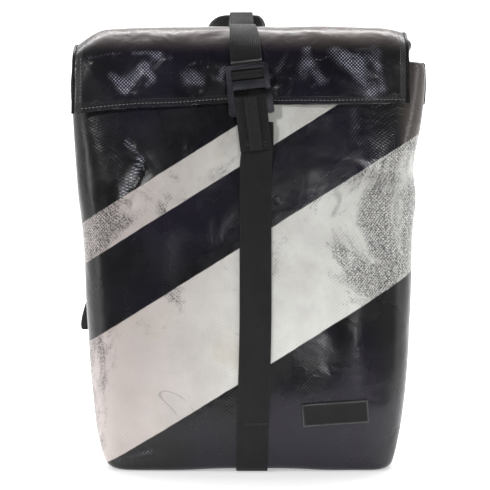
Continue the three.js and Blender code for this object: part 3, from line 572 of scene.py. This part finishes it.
def stripe_marks(recipe, dots, scratches, streaks):
    """Where the stripes are rubbed down to the threads, smeared, scratched or finely lined."""
    x, _, _ = recipe.split("Object")
    side = recipe.math("MAXIMUM", recipe.ramp(x, 0.06, 0.16), recipe.ramp(x, -0.175, -0.12, 0.7, 0.0))
    patchy = recipe.noise(9.5, 9.0, 0.75, distortion=0.8)
    region = recipe.ramp(recipe.math("ADD", patchy, recipe.math("MULTIPLY", side, 0.17)), 0.54, 0.68)
    coarse = recipe.ramp(recipe.noise(420.0, 5.0, 0.75), 0.42, 0.62)
    rubbed = recipe.math("MULTIPLY", recipe.math("MAXIMUM", dots, coarse), region)
    smear = recipe.math("MULTIPLY", recipe.ramp(streaks, 0.5, 0.66), region)
    marks = recipe.math("MAXIMUM", rubbed, recipe.math("MULTIPLY", smear, 0.75))
    marks = recipe.math("MAXIMUM", marks, recipe.math("MULTIPLY", scratches, 0.5))
    vein = recipe.noise(5.5, 3.0, 0.42, distortion=0.7)
    vein = recipe.math("ABSOLUTE", recipe.math("SUBTRACT", vein, 0.5))
    sparse = recipe.ramp(recipe.noise(21.0, 5.0, 0.65), 0.52, 0.64)
    hairline = recipe.math("MULTIPLY", recipe.ramp(vein, 0.0, 0.005, 0.4, 0.0), sparse)
    return recipe.math("MAXIMUM", marks, hairline)


def stripe_colour(recipe, tarp, threads, scratches, streaks):
    """The pale stripes, rosy towards the left, mottled, yellowed in places and marked."""
    x, _, _ = recipe.split("Object")
    left = recipe.ramp(x, -0.16, 0.04, 1.0, 0.0)
    pale = recipe.blend(left, triple(tarp.pale), triple(tarp.blush))
    mottle = recipe.ramp(recipe.noise(24.0, 6.0, 0.65), 0.3, 0.75, 0.0, 0.35)
    pale = recipe.blend(mottle, pale, (0.42, 0.39, 0.37))
    dots = recipe.ramp(threads, 0.15, 0.55)
    pale = recipe.blend(recipe.math("MULTIPLY", dots, 0.16), pale, (0.3, 0.27, 0.25))
    yellowed = recipe.ramp(recipe.noise(15.0, 5.0, 0.6, distortion=0.5), 0.55, 0.72, 0.0, 0.4)
    pale = recipe.blend(yellowed, pale, (0.56, 0.50, 0.39))
    marks = stripe_marks(recipe, dots, scratches, streaks)
    return recipe.blend(recipe.math("MULTIPLY", marks, 0.92, clamp=True), pale, triple(tarp.mark))


def bag_tarp_material():
    """The bag's tarp, dark and glossy, with two pale stripes and a brownish grey at the right gusset's top.
    """
    tarp = settings("tarp")
    recipe = Recipe("Tarp")
    x, _, z = recipe.split("Object")
    normal, threads = tarp_relief(recipe, tarp.weave, 0.5)
    scratches, streaks = tarp_scratches(recipe)
    ground = tarp_ground(recipe, tarp, threads, scratches)
    # Brownish grey laid on the top of the right gusset
    gusset = recipe.math("MULTIPLY", recipe.ramp(x, 0.158, 0.176), recipe.ramp(z, 0.32, 0.37))
    ground = recipe.blend(recipe.math("MULTIPLY", gusset, 0.8), ground, triple(tarp.gusset))
    share = stripe_share(recipe, tarp)
    surface = recipe.blend(share, ground, stripe_colour(recipe, tarp, threads, scratches, streaks))
    rough = tarp_roughness(recipe, scratches)
    rough = recipe.math("ADD", rough, recipe.math("MULTIPLY", share, 0.12))
    return recipe.done(Base_Color=surface, Roughness=rough, Normal=normal, Specular_IOR_Level=0.4)


def black_tarp_material():
    """Plain black tarp of the tapes, the tabs and the folded ends."""
    recipe = Recipe("Black Tarp")
    soft = recipe.noise(45.0, 5.0, 0.55)
    fine = recipe.noise(500.0, 3.0, 0.6)
    normal = recipe.bump(fine, 0.0002, 0.5, recipe.bump(soft, 0.0015, 0.6))
    wear_and_highlight = recipe.ramp(recipe.noise(60.0, 6.0, 0.65), 0.5, 0.75)
    ground = recipe.blend(wear_and_highlight, (0.004, 0.004, 0.0045), (0.014, 0.0135, 0.014))
    rough = recipe.ramp(soft, 0.3, 0.7, 0.3, 0.48)
    return recipe.done(Base_Color=ground, Roughness=rough, Normal=normal)


def webbing_material(name, width, lift=1.0):
    """Woven black webbing, ribbed along its course, rubbed at its edges and lifted in tone."""
    web = settings("webbing")
    recipe = Recipe(name)
    u, v, _ = recipe.split("UV")
    ribs = recipe.lines(u, web.rib)
    lean = recipe.math("ADD", v, recipe.math("MULTIPLY", recipe.math("ABSOLUTE", ribs), web.pick * 0.5))
    picks = recipe.lines(lean, web.pick)
    threads = recipe.math("MULTIPLY", recipe.math("ADD", ribs, 1.3), recipe.math("ADD", picks, 1.2))
    edge = recipe.ramp(recipe.math("ABSOLUTE", u), width / 2 - 0.0022, width / 2 - 0.0008)
    wear = recipe.noise(34.0, 6.0, 0.65)
    fuzz = recipe.noise(900.0, 2.0, 0.6)
    share = recipe.math("MULTIPLY", recipe.ramp(threads, 1.2, 4.6), recipe.ramp(wear, 0.3, 0.75, 0.25, 0.9))
    share = recipe.math("ADD", share, recipe.math("MULTIPLY", edge, 0.25), clamp=True)
    share = recipe.math("ADD", share, recipe.ramp(fuzz, 0.6, 0.8, 0.0, 0.2), clamp=True)
    black, wear_and_highlight = (tuple(lift * tone for tone in triple(ends)) for ends in (web.black, web.wear_and_highlight))
    ground = recipe.blend(share, black, wear_and_highlight)
    normal = recipe.bump(threads, 0.00009, 0.9, recipe.bump(wear, 0.0012, 0.5))
    rough = recipe.ramp(wear, 0.3, 0.7, 0.5, 0.68)
    return recipe.done(Base_Color=ground, Roughness=rough, Normal=normal, Specular_IOR_Level=0.35)


def padded_material():
    """Fine black mesh cloth of the shoulder straps."""
    recipe = Recipe("Strap Cloth")
    u, v, _ = recipe.split("UV")
    cells = recipe.math("MULTIPLY", recipe.lines(u, 0.004), recipe.lines(v, 0.004))
    wear = recipe.noise(40.0, 5.0, 0.6)
    ground = recipe.blend(recipe.ramp(cells, -0.2, 0.8), (0.009, 0.009, 0.010), (0.028, 0.028, 0.029))
    normal = recipe.bump(cells, 0.0003, 0.8, recipe.bump(wear, 0.0015, 0.5))
    return recipe.done(Base_Color=ground, Roughness=0.8, Normal=normal, Sheen_Weight=0.25)


def metal_material(name, ground, bright, rough, metallic=0.9):
    """Dark metal, rubbed in places half way to a brighter grey."""
    recipe = Recipe(name)
    grain = recipe.noise(1.0, 4.0, 0.6, recipe.stretched((900.0, 900.0, 60.0)))
    rubbed = recipe.noise(95.0, 6.0, 0.7)
    tone = tuple(0.5 * value + 0.5 * bright for value in ground)
    share = recipe.ramp(rubbed, 0.42, 0.75)
    surface = recipe.blend(share, ground, tone)
    normal = recipe.bump(grain, 0.00006, 0.6)
    shine = recipe.ramp(rubbed, 0.3, 0.7, rough - 0.06, rough + 0.1)
    return recipe.done(Base_Color=surface, Metallic=metallic, Roughness=shine, Normal=normal)


def rubber_material():
    """Moulded black rubber with a faint bloom, and a painted highlight in light grey along its raised
    border.
    """
    recipe = Recipe("Rubber")
    grain = recipe.noise(1400.0, 3.0, 0.6)
    bloom = recipe.noise(48.0, 6.0, 0.65)
    ground = recipe.blend(recipe.ramp(bloom, 0.4, 0.75), (0.004, 0.004, 0.004), (0.012, 0.012, 0.0118))
    x, _, z = recipe.split("Object")
    x = recipe.math("SUBTRACT", x, PATCH_X)
    z = recipe.math("SUBTRACT", z, PATCH_Z)
    cos, sin = math.cos(PATCH_TURN), math.sin(PATCH_TURN)
    across = recipe.math("ADD", recipe.math("MULTIPLY", x, cos), recipe.math("MULTIPLY", z, sin))
    up = recipe.math("SUBTRACT", recipe.math("MULTIPLY", z, cos), recipe.math("MULTIPLY", x, sin))
    across = recipe.math("SUBTRACT", recipe.math("ABSOLUTE", across), PATCH_HALF[0])
    up = recipe.math("SUBTRACT", recipe.math("ABSOLUTE", up), PATCH_HALF[1])
    # Painted highlight along the patch's raised border, broken up by the bloom
    rim_highlight = recipe.ramp(recipe.math("MAXIMUM", across, up), -0.0006, 0.0002)
    wear_and_highlight = recipe.math("MULTIPLY", rim_highlight, recipe.ramp(bloom, 0.3, 0.6, 0.35, 1.0))
    ground = recipe.blend(wear_and_highlight, ground, (0.085, 0.084, 0.082))
    normal = recipe.bump(grain, 0.00012, 0.6, recipe.bump(bloom, 0.0005, 0.4))
    rough = recipe.ramp(bloom, 0.3, 0.7, 0.42, 0.6)
    return recipe.done(Base_Color=ground, Roughness=rough, Normal=normal, Specular_IOR_Level=0.3)


def plastic_material():
    """Moulded black plastic."""
    recipe = Recipe("Black Plastic")
    grain = recipe.noise(1800.0, 2.0, 0.5)
    ground = recipe.blend(recipe.noise(60.0), (0.010, 0.010, 0.011), (0.020, 0.020, 0.021))
    return recipe.done(Base_Color=ground, Roughness=0.45, Normal=recipe.bump(grain, 0.00008, 0.5))


def thread_material(name, ground):
    """Sewing thread."""
    recipe = Recipe(name)
    twist = recipe.noise(2500.0, 2.0, 0.5)
    bright = tuple(min(1.0, value * 1.8) for value in ground)
    surface = recipe.blend(twist, ground, bright)
    return recipe.done(Base_Color=surface, Roughness=0.6, Normal=recipe.bump(twist, 0.0001, 0.6))


# Folds seen from the front, in millimetres: from x, z to x, z, then reach and height
BODY_FOLDS = (
    (-127, 360, -118, 336, 5, -1.6),
    (-118, 336, -133, 305, 5, -1.8),
    (-133, 305, -148, 270, 6, -1.3),
    (-136, 340, -150, 320, 9, 1.4),
    (-110, 346, -96, 328, 8, 0.9),
    (-70, 360, -72, 314, 4, 0.7),
    (-152, 14, -108, 24, 6, -1.3),
    (-140, 34, -118, 50, 8, -1.4),
    (-150, 56, -128, 66, 9, 1.0),
    (-92, 126, -100, 256, 16, 0.7),
    (118, 66, 112, 236, 15, 1.1),
    (146, 96, 140, 286, 12, -1.1),
    (84, 156, 80, 306, 14, -0.7),
    (126, 336, 168, 330, 8, -1.3),
    (130, 306, 172, 306, 9, 1.1),
    (120, 24, 150, 36, 7, -1.0),
    (60, 376, 68, 336, 9, 0.7),
    (96, 246, 130, 268, 10, 0.8),
)

FLAP_FOLDS = (
    (-134, 423, -102, 461, 5, 1.3),
    (-153, 437, -136, 422, 4, 1.0),
    (-121, 447, -109, 437, 4, 0.8),
    (-109, 437, -119, 426, 4, 0.8),
    (-176, 455, -152, 462, 3, 0.9),
    (-150, 461, -88, 461, 3, 0.8),
    (-73, 442, -59, 426, 5, 1.2),
    (-85, 431, -70, 418, 5, -0.9),
    (-50, 442, -60, 452, 5, -0.8),
    (-36, 436, -27, 443, 4, 0.8),
    (-36, 436, -27, 427, 4, 0.8),
    (42, 461, 24, 431, 6, 0.9),
    (61, 465, 66, 432, 5, 1.2),
    (54, 453, 46, 420, 5, 0.8),
    (92, 442, 144, 417, 6, 0.9),
    (95, 468, 112, 446, 5, 0.9),
    (125, 472, 128, 426, 8, 1.3),
    (112, 446, 140, 436, 5, -0.8),
    (150, 461, 157, 422, 6, 1.0),
)

# Painted highlights along creases: from x, z to x, z and reach in millimetres, then strength
BODY_PAINTED_HIGHLIGHTS = (
    (-138, 367, -124, 346, 4, 0.8),
    (-124, 346, -142, 312, 4.5, 1),
    (-142, 312, -150, 282, 4, 0.6),
    (-153, 358, -146, 330, 9, 0.3),
    (52, 379, 85, 392, 10, 0.3),
    (112, 399, 120, 358, 8, 0.35),
    (-76, 355, -75, 325, 2, 0.25),
    (-152, 12, -111, 23, 3, 0.35),
)
FLAP_PAINTED_HIGHLIGHTS = (
    (-183, 460, -146, 465, 2.2, 0.5),
    (-132, 465, -103, 465, 2.6, 0.8),
    (-105, 463, -124, 445, 5.5, 0.8),
    (-124, 445, -141, 428, 6.5, 1),
    (-141, 428, -155, 440, 4.5, 0.9),
    (-120, 451, -110, 437, 4.5, 0.8),
    (-110, 437, -116, 430, 4, 0.6),
    (-73, 438, -59, 437, 8.5, 1),
    (-28, 448, -36, 438, 4, 0.9),
    (-36, 438, -29, 431, 3.6, 0.8),
    (39, 462, 21, 437, 4, 0.45),
    (61, 468, 64, 455, 4.5, 0.95),
    (57, 455, 54, 437, 6.5, 0.55),
    (65, 453, 78, 435, 7, 0.6),
    (94, 466, 116, 450, 8, 0.9),
    (116, 450, 132, 422, 11, 1),
    (137, 470, 146, 424, 4.5, 0.75),
    (104, 460, 138, 460, 7, 0.6),
    (-102, 460, -89, 460, 3, 0.35),
    (-174, 417, -155, 415, 3, 0.3),
)


# The pieces
class BAG_OT_shell(bpy.types.Operator):
    """Make the tarp bag below the flap"""

    bl_idname = "bag.shell"
    bl_label = "Tarp Bag"

    def execute(self, context):
        piece = copy_of("tarp_body", "tarp_bag")
        crease(piece, 50, 0.35)
        subdivide(piece, 2)
        refine(piece, lambda middle, normal: middle.y < -0.03 and normal.y < -0.5)
        mark_painted_highlights(piece, BODY_PAINTED_HIGHLIGHTS)
        height = settings("tarp").swell
        strap_x, strap_half, run_out, calm_base = 0.003, 0.018, 0.02, 0.03

        def push(place, normal):
            out = 1.0 if normal.x * place.x + normal.y * place.y > 0 else -1.0
            lift = height * (0.6 * swell(place, 0.075) + 0.3 * swell(place, 0.03))
            lift *= min(1.0, max(0.0, place.z / calm_base))
            if place.y < 0:
                facing = min(1.0, max(0.0, -normal.y * out * 1.5))
                lift += facing * MM * fold_height(BODY_FOLDS, place.x / MM, place.z / MM)
                lift *= min(1.0, max(0.0, (abs(place.x - strap_x) - strap_half) / run_out))
            return out * lift

        sculpt(piece, push)
        lay_round(piece, half_x=0.19, half_y=0.068)
        finish(piece, bag_tarp_material(), "tarp", "tarp_body")
        return {"FINISHED"}


class BAG_OT_flap(bpy.types.Operator):
    """Make the mouth that is folded over to the front"""

    bl_idname = "bag.flap"
    bl_label = "Flap"

    def execute(self, context):
        piece = copy_of("roll_flap", "flap")
        course = lay_along(piece, 38, lambda co: co.z + (10.0 if co.y < 0 else 0.0))
        crease(piece, 50, 0.8)
        subdivide(piece, 3)
        mark_painted_highlights(piece, FLAP_PAINTED_HIGHLIGHTS)
        height = settings("tarp").swell
        strap_x, strap_half, run_out, folds_below = -0.006, 0.02, 0.015, 0.47

        def push(place, normal):
            out = 1.0 if normal.y * place.y > 0 or normal.z > 0.2 else -1.0
            calm = min(1.0, max(0.0, (abs(place.x - strap_x) - strap_half) / run_out))
            lift = height * (0.8 * swell(place, 0.055) + 0.35 * swell(place, 0.022))
            if place.y < 0 and place.z < folds_below:
                lift += 0.9 * MM * fold_height(FLAP_FOLDS, place.x / MM, place.z / MM)
            return out * lift * calm * (1.0 if out > 0 else 0.6)

        sculpt(piece, push)
        finish(piece, flap_tarp_material(course), "tarp", "roll_flap")
        return {"FINISHED"}


class BAG_OT_tapes(bpy.types.Operator):
    """Make the black tapes, the folded ends of the mouth, the yoke and the tabs"""

    bl_idname = "bag.tapes"
    bl_label = "Tapes and Folded Ends"

    def execute(self, context):
        material = black_tarp_material()
        for side in ("left", "right"):
            for part in ("flap_binding", "gusset_binding", "base_tab"):
                node = f"{part}_{side}"
                piece = copy_of(node, node.replace("binding", "tape"))
                crease(piece, 50, 0.5)
                subdivide(piece, 2)
                finish(piece, material, "black_tarp", node)
            node = "bellows_" + side
            piece = copy_of(node, "folded_end_" + side)
            subdivide(piece, 2)
            sculpt(piece, lambda place, normal: 1.6 * MM * math.sin(place.z / 0.0042) * abs(normal.x))
            sculpt(piece, lambda place, normal: MM * swell(place, 0.012))
            finish(piece, material, "black_tarp", node)
        piece = copy_of("back_yoke", "yoke")
        crease(piece, 50, 0.6)
        subdivide(piece, 2)
        finish(piece, material, "black_tarp", "back_yoke")
        return {"FINISHED"}


class BAG_OT_webbing(bpy.types.Operator):
    """Make the webbing of the closure, the handle and the shoulder straps"""

    bl_idname = "bag.webbing"
    bl_label = "Webbing"

    def execute(self, context):
        wide = webbing_material("Webbing", 0.035)
        handle = webbing_material("Handle Webbing", 0.024)
        narrow = webbing_material("Narrow Webbing", 0.025)
        band = webbing_material("Band Webbing", 0.014, 1.8)
        rows = (
            ("upper_strap", wide, lambda co: co.z),
            ("lower_strap", wide, lambda co: -co.z),
            ("strap_loop", wide, lambda co: co.z),
            ("loop_band", band, lambda co: co.z),
            ("carry_handle", handle, lambda co: 0.61 * co.y + 0.79 * co.z + (1.0 if co.x > -0.03 else 0.0)),
            ("strap_web_left", narrow, lambda co: 0.23 * co.x - 0.97 * co.z),
            ("strap_web_right", narrow, lambda co: -0.23 * co.x - 0.97 * co.z),
        )
        for node, material, score in rows:
            piece = copy_of(node, node + "_cloth")
            lay_along(piece, 6, score)
            crease(piece, 50, 0.75)
            subdivide(piece, 2)
            finish(piece, material, "webbing", node)
        return {"FINISHED"}


def bulge_out(piece):
    """Lets the left pad's outer edge stand out beside the bag, as a soft bulge."""
    edge, middle, reach, depth = -0.17, 0.126, 0.042, 0.011
    for vertex in piece.data.vertices:
        if vertex.co.x < edge:
            vertex.co.x -= depth * math.exp(-(((vertex.co.z - middle) / reach) ** 2))


class BAG_OT_pads(bpy.types.Operator):
    """Make the padded shoulder straps"""

    bl_idname = "bag.pads"
    bl_label = "Shoulder Straps"

    def execute(self, context):
        material = padded_material()
        for side in ("left", "right"):
            node = "shoulder_strap_" + side
            piece = copy_of(node, "shoulder_pad_" + side)
            lay_along(piece, 10, lambda co: -co.z)
            crease(piece, 60, 0.3)
            subdivide(piece, 2)
            sculpt(piece, lambda place, normal: 0.8 * MM * swell(place, 0.03))
            if side == "left":
                bulge_out(piece)
            finish(piece, material, "strap_cloth", node)
        return {"FINISHED"}


class BAG_OT_hardware(bpy.types.Operator):
    """Make the hook buckle, the snap, the patch and the locks"""

    bl_idname = "bag.hardware"
    bl_label = "Hardware"

    def execute(self, context):
        buckle = copy_of("hook_buckle", "hook_plate")
        buckle.data.materials.append(metal_material("Dark Plate", (0.024, 0.025, 0.034), 0.06, 0.4, 0.4))
        buckle.data.materials.append(metal_material("Rubbed Edge", (0.26, 0.27, 0.29), 0.5, 0.35, 0.1))
        bevel_edges(buckle, 0.9 * MM, 2, 50, material=1)
        finish(buckle, None, "buckle_metal", "hook_buckle")
        snap = frame["nodes"]["snap_stud"]
        snap.data.materials.clear()
        snap.data.materials.append(metal_material("Snap Metal", (0.05, 0.05, 0.052), 0.12, 0.35))
        patch = copy_of("name_patch", "rubber_patch")
        crease(patch, 35, 0.8)
        subdivide(patch, 2)
        finish(patch, rubber_material(), "rubber", "name_patch")
        plastic = plastic_material()
        for side in ("left", "right"):
            lock = copy_of("ladder_lock_" + side, "strap_lock_" + side)
            bevel_edges(lock, 0.8 * MM, 3, 40)
            finish(lock, plastic, "black_plastic", "ladder_lock_" + side)
        return {"FINISHED"}


def on_front(piece, x, z):
    """The place and the normal where a line from the front meets a piece, if it does."""
    hit, place, normal, _ = piece.ray_cast(Vector((x, -0.5, z)), INWARD)
    return (place, normal) if hit else None


def hem_height(piece, x):
    """The height of a piece's lower edge, seen from the front."""
    low, high = 0.37, 0.44
    for _ in range(16):
        middle = (low + high) / 2
        if on_front(piece, x, middle):
            high = middle
        else:
            low = middle
    return high


def stitch_pattern(stitch, radius):
    """One stitch along X, with its middle at the origin."""
    deselect()
    bpy.ops.mesh.primitive_uv_sphere_add(segments=8, ring_count=6, radius=0.5)
    bpy.ops.transform.resize(value=(stitch, 2 * radius, 2 * radius))
    bpy.ops.object.transform_apply(location=False, rotation=False, scale=True)
    return bpy.context.object


def sew(name, piece, lines, thread, slot, pitch, stitch, radius, across=False):
    """Sews rows of stitches on a piece, along lines of (x, z) points seen from the front."""
    pattern = stitch_pattern(stitch, radius)
    made = []
    for line in lines:
        left = 0.0
        for start, end in zip(line, line[1:]):
            run = math.dist(start, end)
            while left < run:
                x = start[0] + (end[0] - start[0]) * left / run
                z = start[1] + (end[1] - start[1]) * left / run
                left += pitch
                met = on_front(piece, x, z)
                if met is None:
                    continue
                place, out = met
                course = Vector((end[0] - start[0], 0.0, end[1] - start[1])).normalized()
                course = (course - out * course.dot(out)).normalized()
                side = out.cross(course)
                if across:
                    course, side = side, -course
                turn = Matrix((course, side, out)).transposed().to_4x4()
                copy = bpy.data.objects.new(name, pattern.data.copy())
                bpy.context.scene.collection.objects.link(copy)
                copy.data.transform(Matrix.Translation(place + out * radius * 0.35) @ turn)
                made.append(copy)
            left -= run
    bpy.data.objects.remove(pattern)
    deselect()
    for copy in made:
        copy.select_set(True)
    bpy.context.view_layer.objects.active = made[0]
    bpy.ops.object.join()
    row = bpy.context.object
    row.name = name
    finish(row, thread, slot)


def hem_line(piece, inset):
    """A line of points above a piece's lower edge, from left to right."""
    return [(x * MM, hem_height(piece, x * MM) + inset) for x in range(-188, 170, 3)]


def patch_line(inset):
    """A line round the patch, within its edge."""
    cos, sin = math.cos(PATCH_TURN), math.sin(PATCH_TURN)
    half_x, half_z = (half - inset for half in PATCH_HALF)
    corners = []
    for x, z in ((-1, 1), (1, 1), (1, -1), (-1, -1), (-1, 1)):
        across, rise = x * half_x, z * half_z
        corners.append((PATCH_X + across * cos - rise * sin, PATCH_Z + across * sin + rise * cos))
    return corners


class BAG_OT_stitches(bpy.types.Operator):
    """Sew the hems, the patch, the gusset and the straps"""

    bl_idname = "bag.stitches"
    bl_label = "Stitches"

    def execute(self, context):
        sewing = settings("stitch")
        pieces = bpy.data.objects
        pale = thread_material("Pale Thread", (0.16, 0.16, 0.17))
        black = thread_material("Black Thread", (0.022, 0.022, 0.023))
        row = (sewing.pitch, sewing.stitch, sewing.thread)
        side = [(-0.1905, 0.412), (-0.1905, 0.462)]
        lines = [hem_line(pieces["flap"], sewing.inset), side]
        sew("flap_stitches", pieces["flap"], lines, pale, "tarp", *row)
        slope = ((0.1815, 0.455), (0.1975, 0.440))
        lines = [[(x, z - drop) for x, z in slope] for drop in (0.0, 0.0045)]
        sew("gusset_stitches", pieces["tarp_bag"], lines, pale, "tarp", *row)
        fine = (0.0031, 0.0022, 0.0004)
        sew("patch_stitches", pieces["rubber_patch"], [patch_line(MM)], black, "rubber", *fine)
        lines = [[(-0.006, z * MM), (0.0165, z * MM)] for z in (363, 366)]
        bar = (0.0013, 0.0028, 0.0004, True)
        sew("loop_tack", pieces["strap_loop_cloth"], lines, black, "webbing", *bar)
        lines = [[(-0.007, 0.056), (0.0215, 0.0575)]]
        bar = (0.0013, 0.0032, 0.0004, True)
        sew("strap_tack", pieces["lower_strap_cloth"], lines, black, "webbing", *bar)
        return {"FINISHED"}


# The stage. Each soft box has a place, what it looks at, its size and its power in watts
BAG_MIDDLE = (0.0, 0.0, 0.26)
LIGHTS = {
    "key_box": ((-1.5, -1.7, 1.55), BAG_MIDDLE, (0.35, 0.25), 20.0),
    "spark_box": ((0.5, -2.0, 0.4), BAG_MIDDLE, (0.25, 0.12), 7.0),
    "side_box": ((-1.9, -0.5, 0.7), BAG_MIDDLE, (0.25, 1.3), 5.0),
    "fill_box": ((1.9, -0.7, 0.8), BAG_MIDDLE, (0.25, 1.3), 8.0),
    "top_box": ((0.0, 0.5, 2.0), BAG_MIDDLE, (2.2, 0.8), 18.0),
    "wall_box": ((0.0, 0.9, 2.4), (0.0, 2.8, 0.3), (3.0, 0.6), 90.0),
}


def area_light(name, place, aim, size, power):
    """A soft box that looks at a place."""
    data = bpy.data.lights.new(name, "AREA")
    data.shape = "RECTANGLE"
    data.size, data.size_y = size
    data.energy = power
    light = bpy.data.objects.new(name, data)
    bpy.context.scene.collection.objects.link(light)
    light.location = place
    light.rotation_euler = (Vector(aim) - Vector(place)).to_track_quat("-Z", "Y").to_euler()


def studio_world():
    """White to the camera, and brighter from behind than from the front."""
    world = bpy.data.worlds.new("Studio")
    world.use_nodes = True
    tree = world.node_tree
    plain = tree.nodes["Background"]
    plain.inputs["Color"].default_value = (1.0, 1.0, 1.0, 1.0)
    path = tree.nodes.new("ShaderNodeLightPath")
    coords = tree.nodes.new("ShaderNodeTexCoord")
    split = tree.nodes.new("ShaderNodeSeparateXYZ")
    tree.links.new(coords.outputs["Generated"], split.inputs[0])
    around = tree.nodes.new("ShaderNodeMapRange")
    around.interpolation_type = "SMOOTHSTEP"
    around.inputs["From Min"].default_value = -0.6
    around.inputs["From Max"].default_value = 0.7
    around.inputs["To Min"].default_value = 0.03
    around.inputs["To Max"].default_value = 1.1
    tree.links.new(split.outputs["Y"], around.inputs["Value"])
    seen = tree.nodes.new("ShaderNodeMix")
    seen.data_type = "FLOAT"
    seen.inputs[3].default_value = 1.05
    tree.links.new(path.outputs["Is Camera Ray"], seen.inputs[0])
    tree.links.new(around.outputs[0], seen.inputs[2])
    tree.links.new(seen.outputs[0], plain.inputs["Strength"])
    return world


def pale_floor():
    """A pale sheet that lies below the bag and curves up to a wall behind it."""
    width, depth, front, wall, bend = 12.0, 3.45, -0.45, 5.0, 1.6
    deselect()
    bpy.ops.mesh.primitive_plane_add(size=1.0, location=(0.0, front + depth / 2, 0.0))
    floor = bpy.context.object
    floor.name = "floor"
    bpy.ops.transform.resize(value=(width, depth, 1.0))
    bpy.ops.object.transform_apply(location=True, scale=True)
    bpy.ops.object.mode_set(mode="EDIT")
    bpy.ops.mesh.select_all(action="DESELECT")
    bpy.ops.object.mode_set(mode="OBJECT")
    for edge in floor.data.edges:
        edge.select = all(floor.data.vertices[i].co.y > 0.0 for i in edge.vertices)
    bpy.ops.object.mode_set(mode="EDIT")
    bpy.ops.mesh.extrude_region_move(TRANSFORM_OT_translate={"value": (0.0, 0.0, wall)})
    bpy.ops.mesh.select_all(action="SELECT")
    bpy.ops.mesh.normals_make_consistent(inside=False)
    bpy.ops.object.mode_set(mode="OBJECT")
    apply_modifier(floor, "BEVEL", width=bend, segments=16, limit_method="ANGLE")
    activate(floor)
    bpy.ops.object.shade_smooth()
    recipe = Recipe("Pale Floor")
    grain = recipe.noise(3.0, 3.0)
    paper = recipe.blend(recipe.ramp(grain, 0.3, 0.7), (0.93, 0.93, 0.93), (0.96, 0.96, 0.96))
    white = (1.0, 1.0, 1.0)
    sheet = recipe.done(Base_Color=paper, Roughness=0.95, Emission_Color=white, Emission_Strength=0.42)
    floor.data.materials.append(sheet)
    return floor


class BAG_OT_stage(bpy.types.Operator):
    """Make the pale floor, the studio light and the camera"""

    bl_idname = "bag.stage"
    bl_label = "Stage"

    def execute(self, context):
        scene = context.scene
        stage = settings("stage")
        floor = pale_floor()
        scene.view_settings.view_transform = "Standard"
        scene.world = studio_world()
        for name, row in LIGHTS.items():
            area_light(name, *row)
        data = bpy.data.cameras.new("camera")
        camera = bpy.data.objects.new("camera", data)
        scene.collection.objects.link(camera)
        scene.camera = camera
        data.sensor_width = 36.0
        data.lens = data.sensor_width * stage.distance / stage.span
        turn, rise = math.radians(stage.turn), math.radians(stage.rise)
        aim = Vector((stage.aim_x, MODEL_BOX[0].y, stage.aim_z))
        back = Vector((math.sin(turn) * math.cos(rise), -math.cos(turn) * math.cos(rise), math.sin(rise)))
        camera.location = aim + back * stage.distance
        camera.rotation_euler = (-back).to_track_quat("-Z", "Y").to_euler()
        return {"FINISHED"}


# The panel, and what starts it all
class BAG_PT_panel(bpy.types.Panel):
    """Lists what the backpack is made of"""

    bl_idname = "BAG_PT_panel"
    bl_label = "Roll-top Backpack"
    bl_space_type = "VIEW_3D"
    bl_region_type = "UI"
    bl_category = "Backpack"

    def draw(self, context):
        for kind, group in GROUPS.items():
            box = self.layout.box()
            box.label(text=kind.title())
            for name in group.__annotations__:
                box.prop(settings(kind), name)
        for operator in OPERATORS:
            self.layout.operator(operator.bl_idname)


GROUPS = {
    "tarp": TarpSettings,
    "webbing": WebbingSettings,
    "stitch": StitchSettings,
    "stage": StageSettings,
}
OPERATORS = (
    BAG_OT_stage,
    BAG_OT_shell,
    BAG_OT_flap,
    BAG_OT_tapes,
    BAG_OT_webbing,
    BAG_OT_pads,
    BAG_OT_hardware,
    BAG_OT_stitches,
)


def register():
    """Adds the settings, the operators and the panel to Blender."""
    for group in GROUPS.values():
        bpy.utils.register_class(group)
    for kind, group in GROUPS.items():
        setattr(bpy.types.Scene, "bag_" + kind, PointerProperty(type=group))
    for operator in (*OPERATORS, BAG_PT_panel):
        bpy.utils.register_class(operator)


def unregister():
    """Takes them out again."""
    for operator in (BAG_PT_panel, *reversed(OPERATORS)):
        bpy.utils.unregister_class(operator)
    for kind, group in GROUPS.items():
        delattr(bpy.types.Scene, "bag_" + kind)
        bpy.utils.unregister_class(group)


def main():
    """Makes the whole backpack."""
    register()
    for operator in OPERATORS:
        family, name = operator.bl_idname.split(".")
        getattr(getattr(bpy.ops, family), name)()


if __name__ == "__main__":
    main()
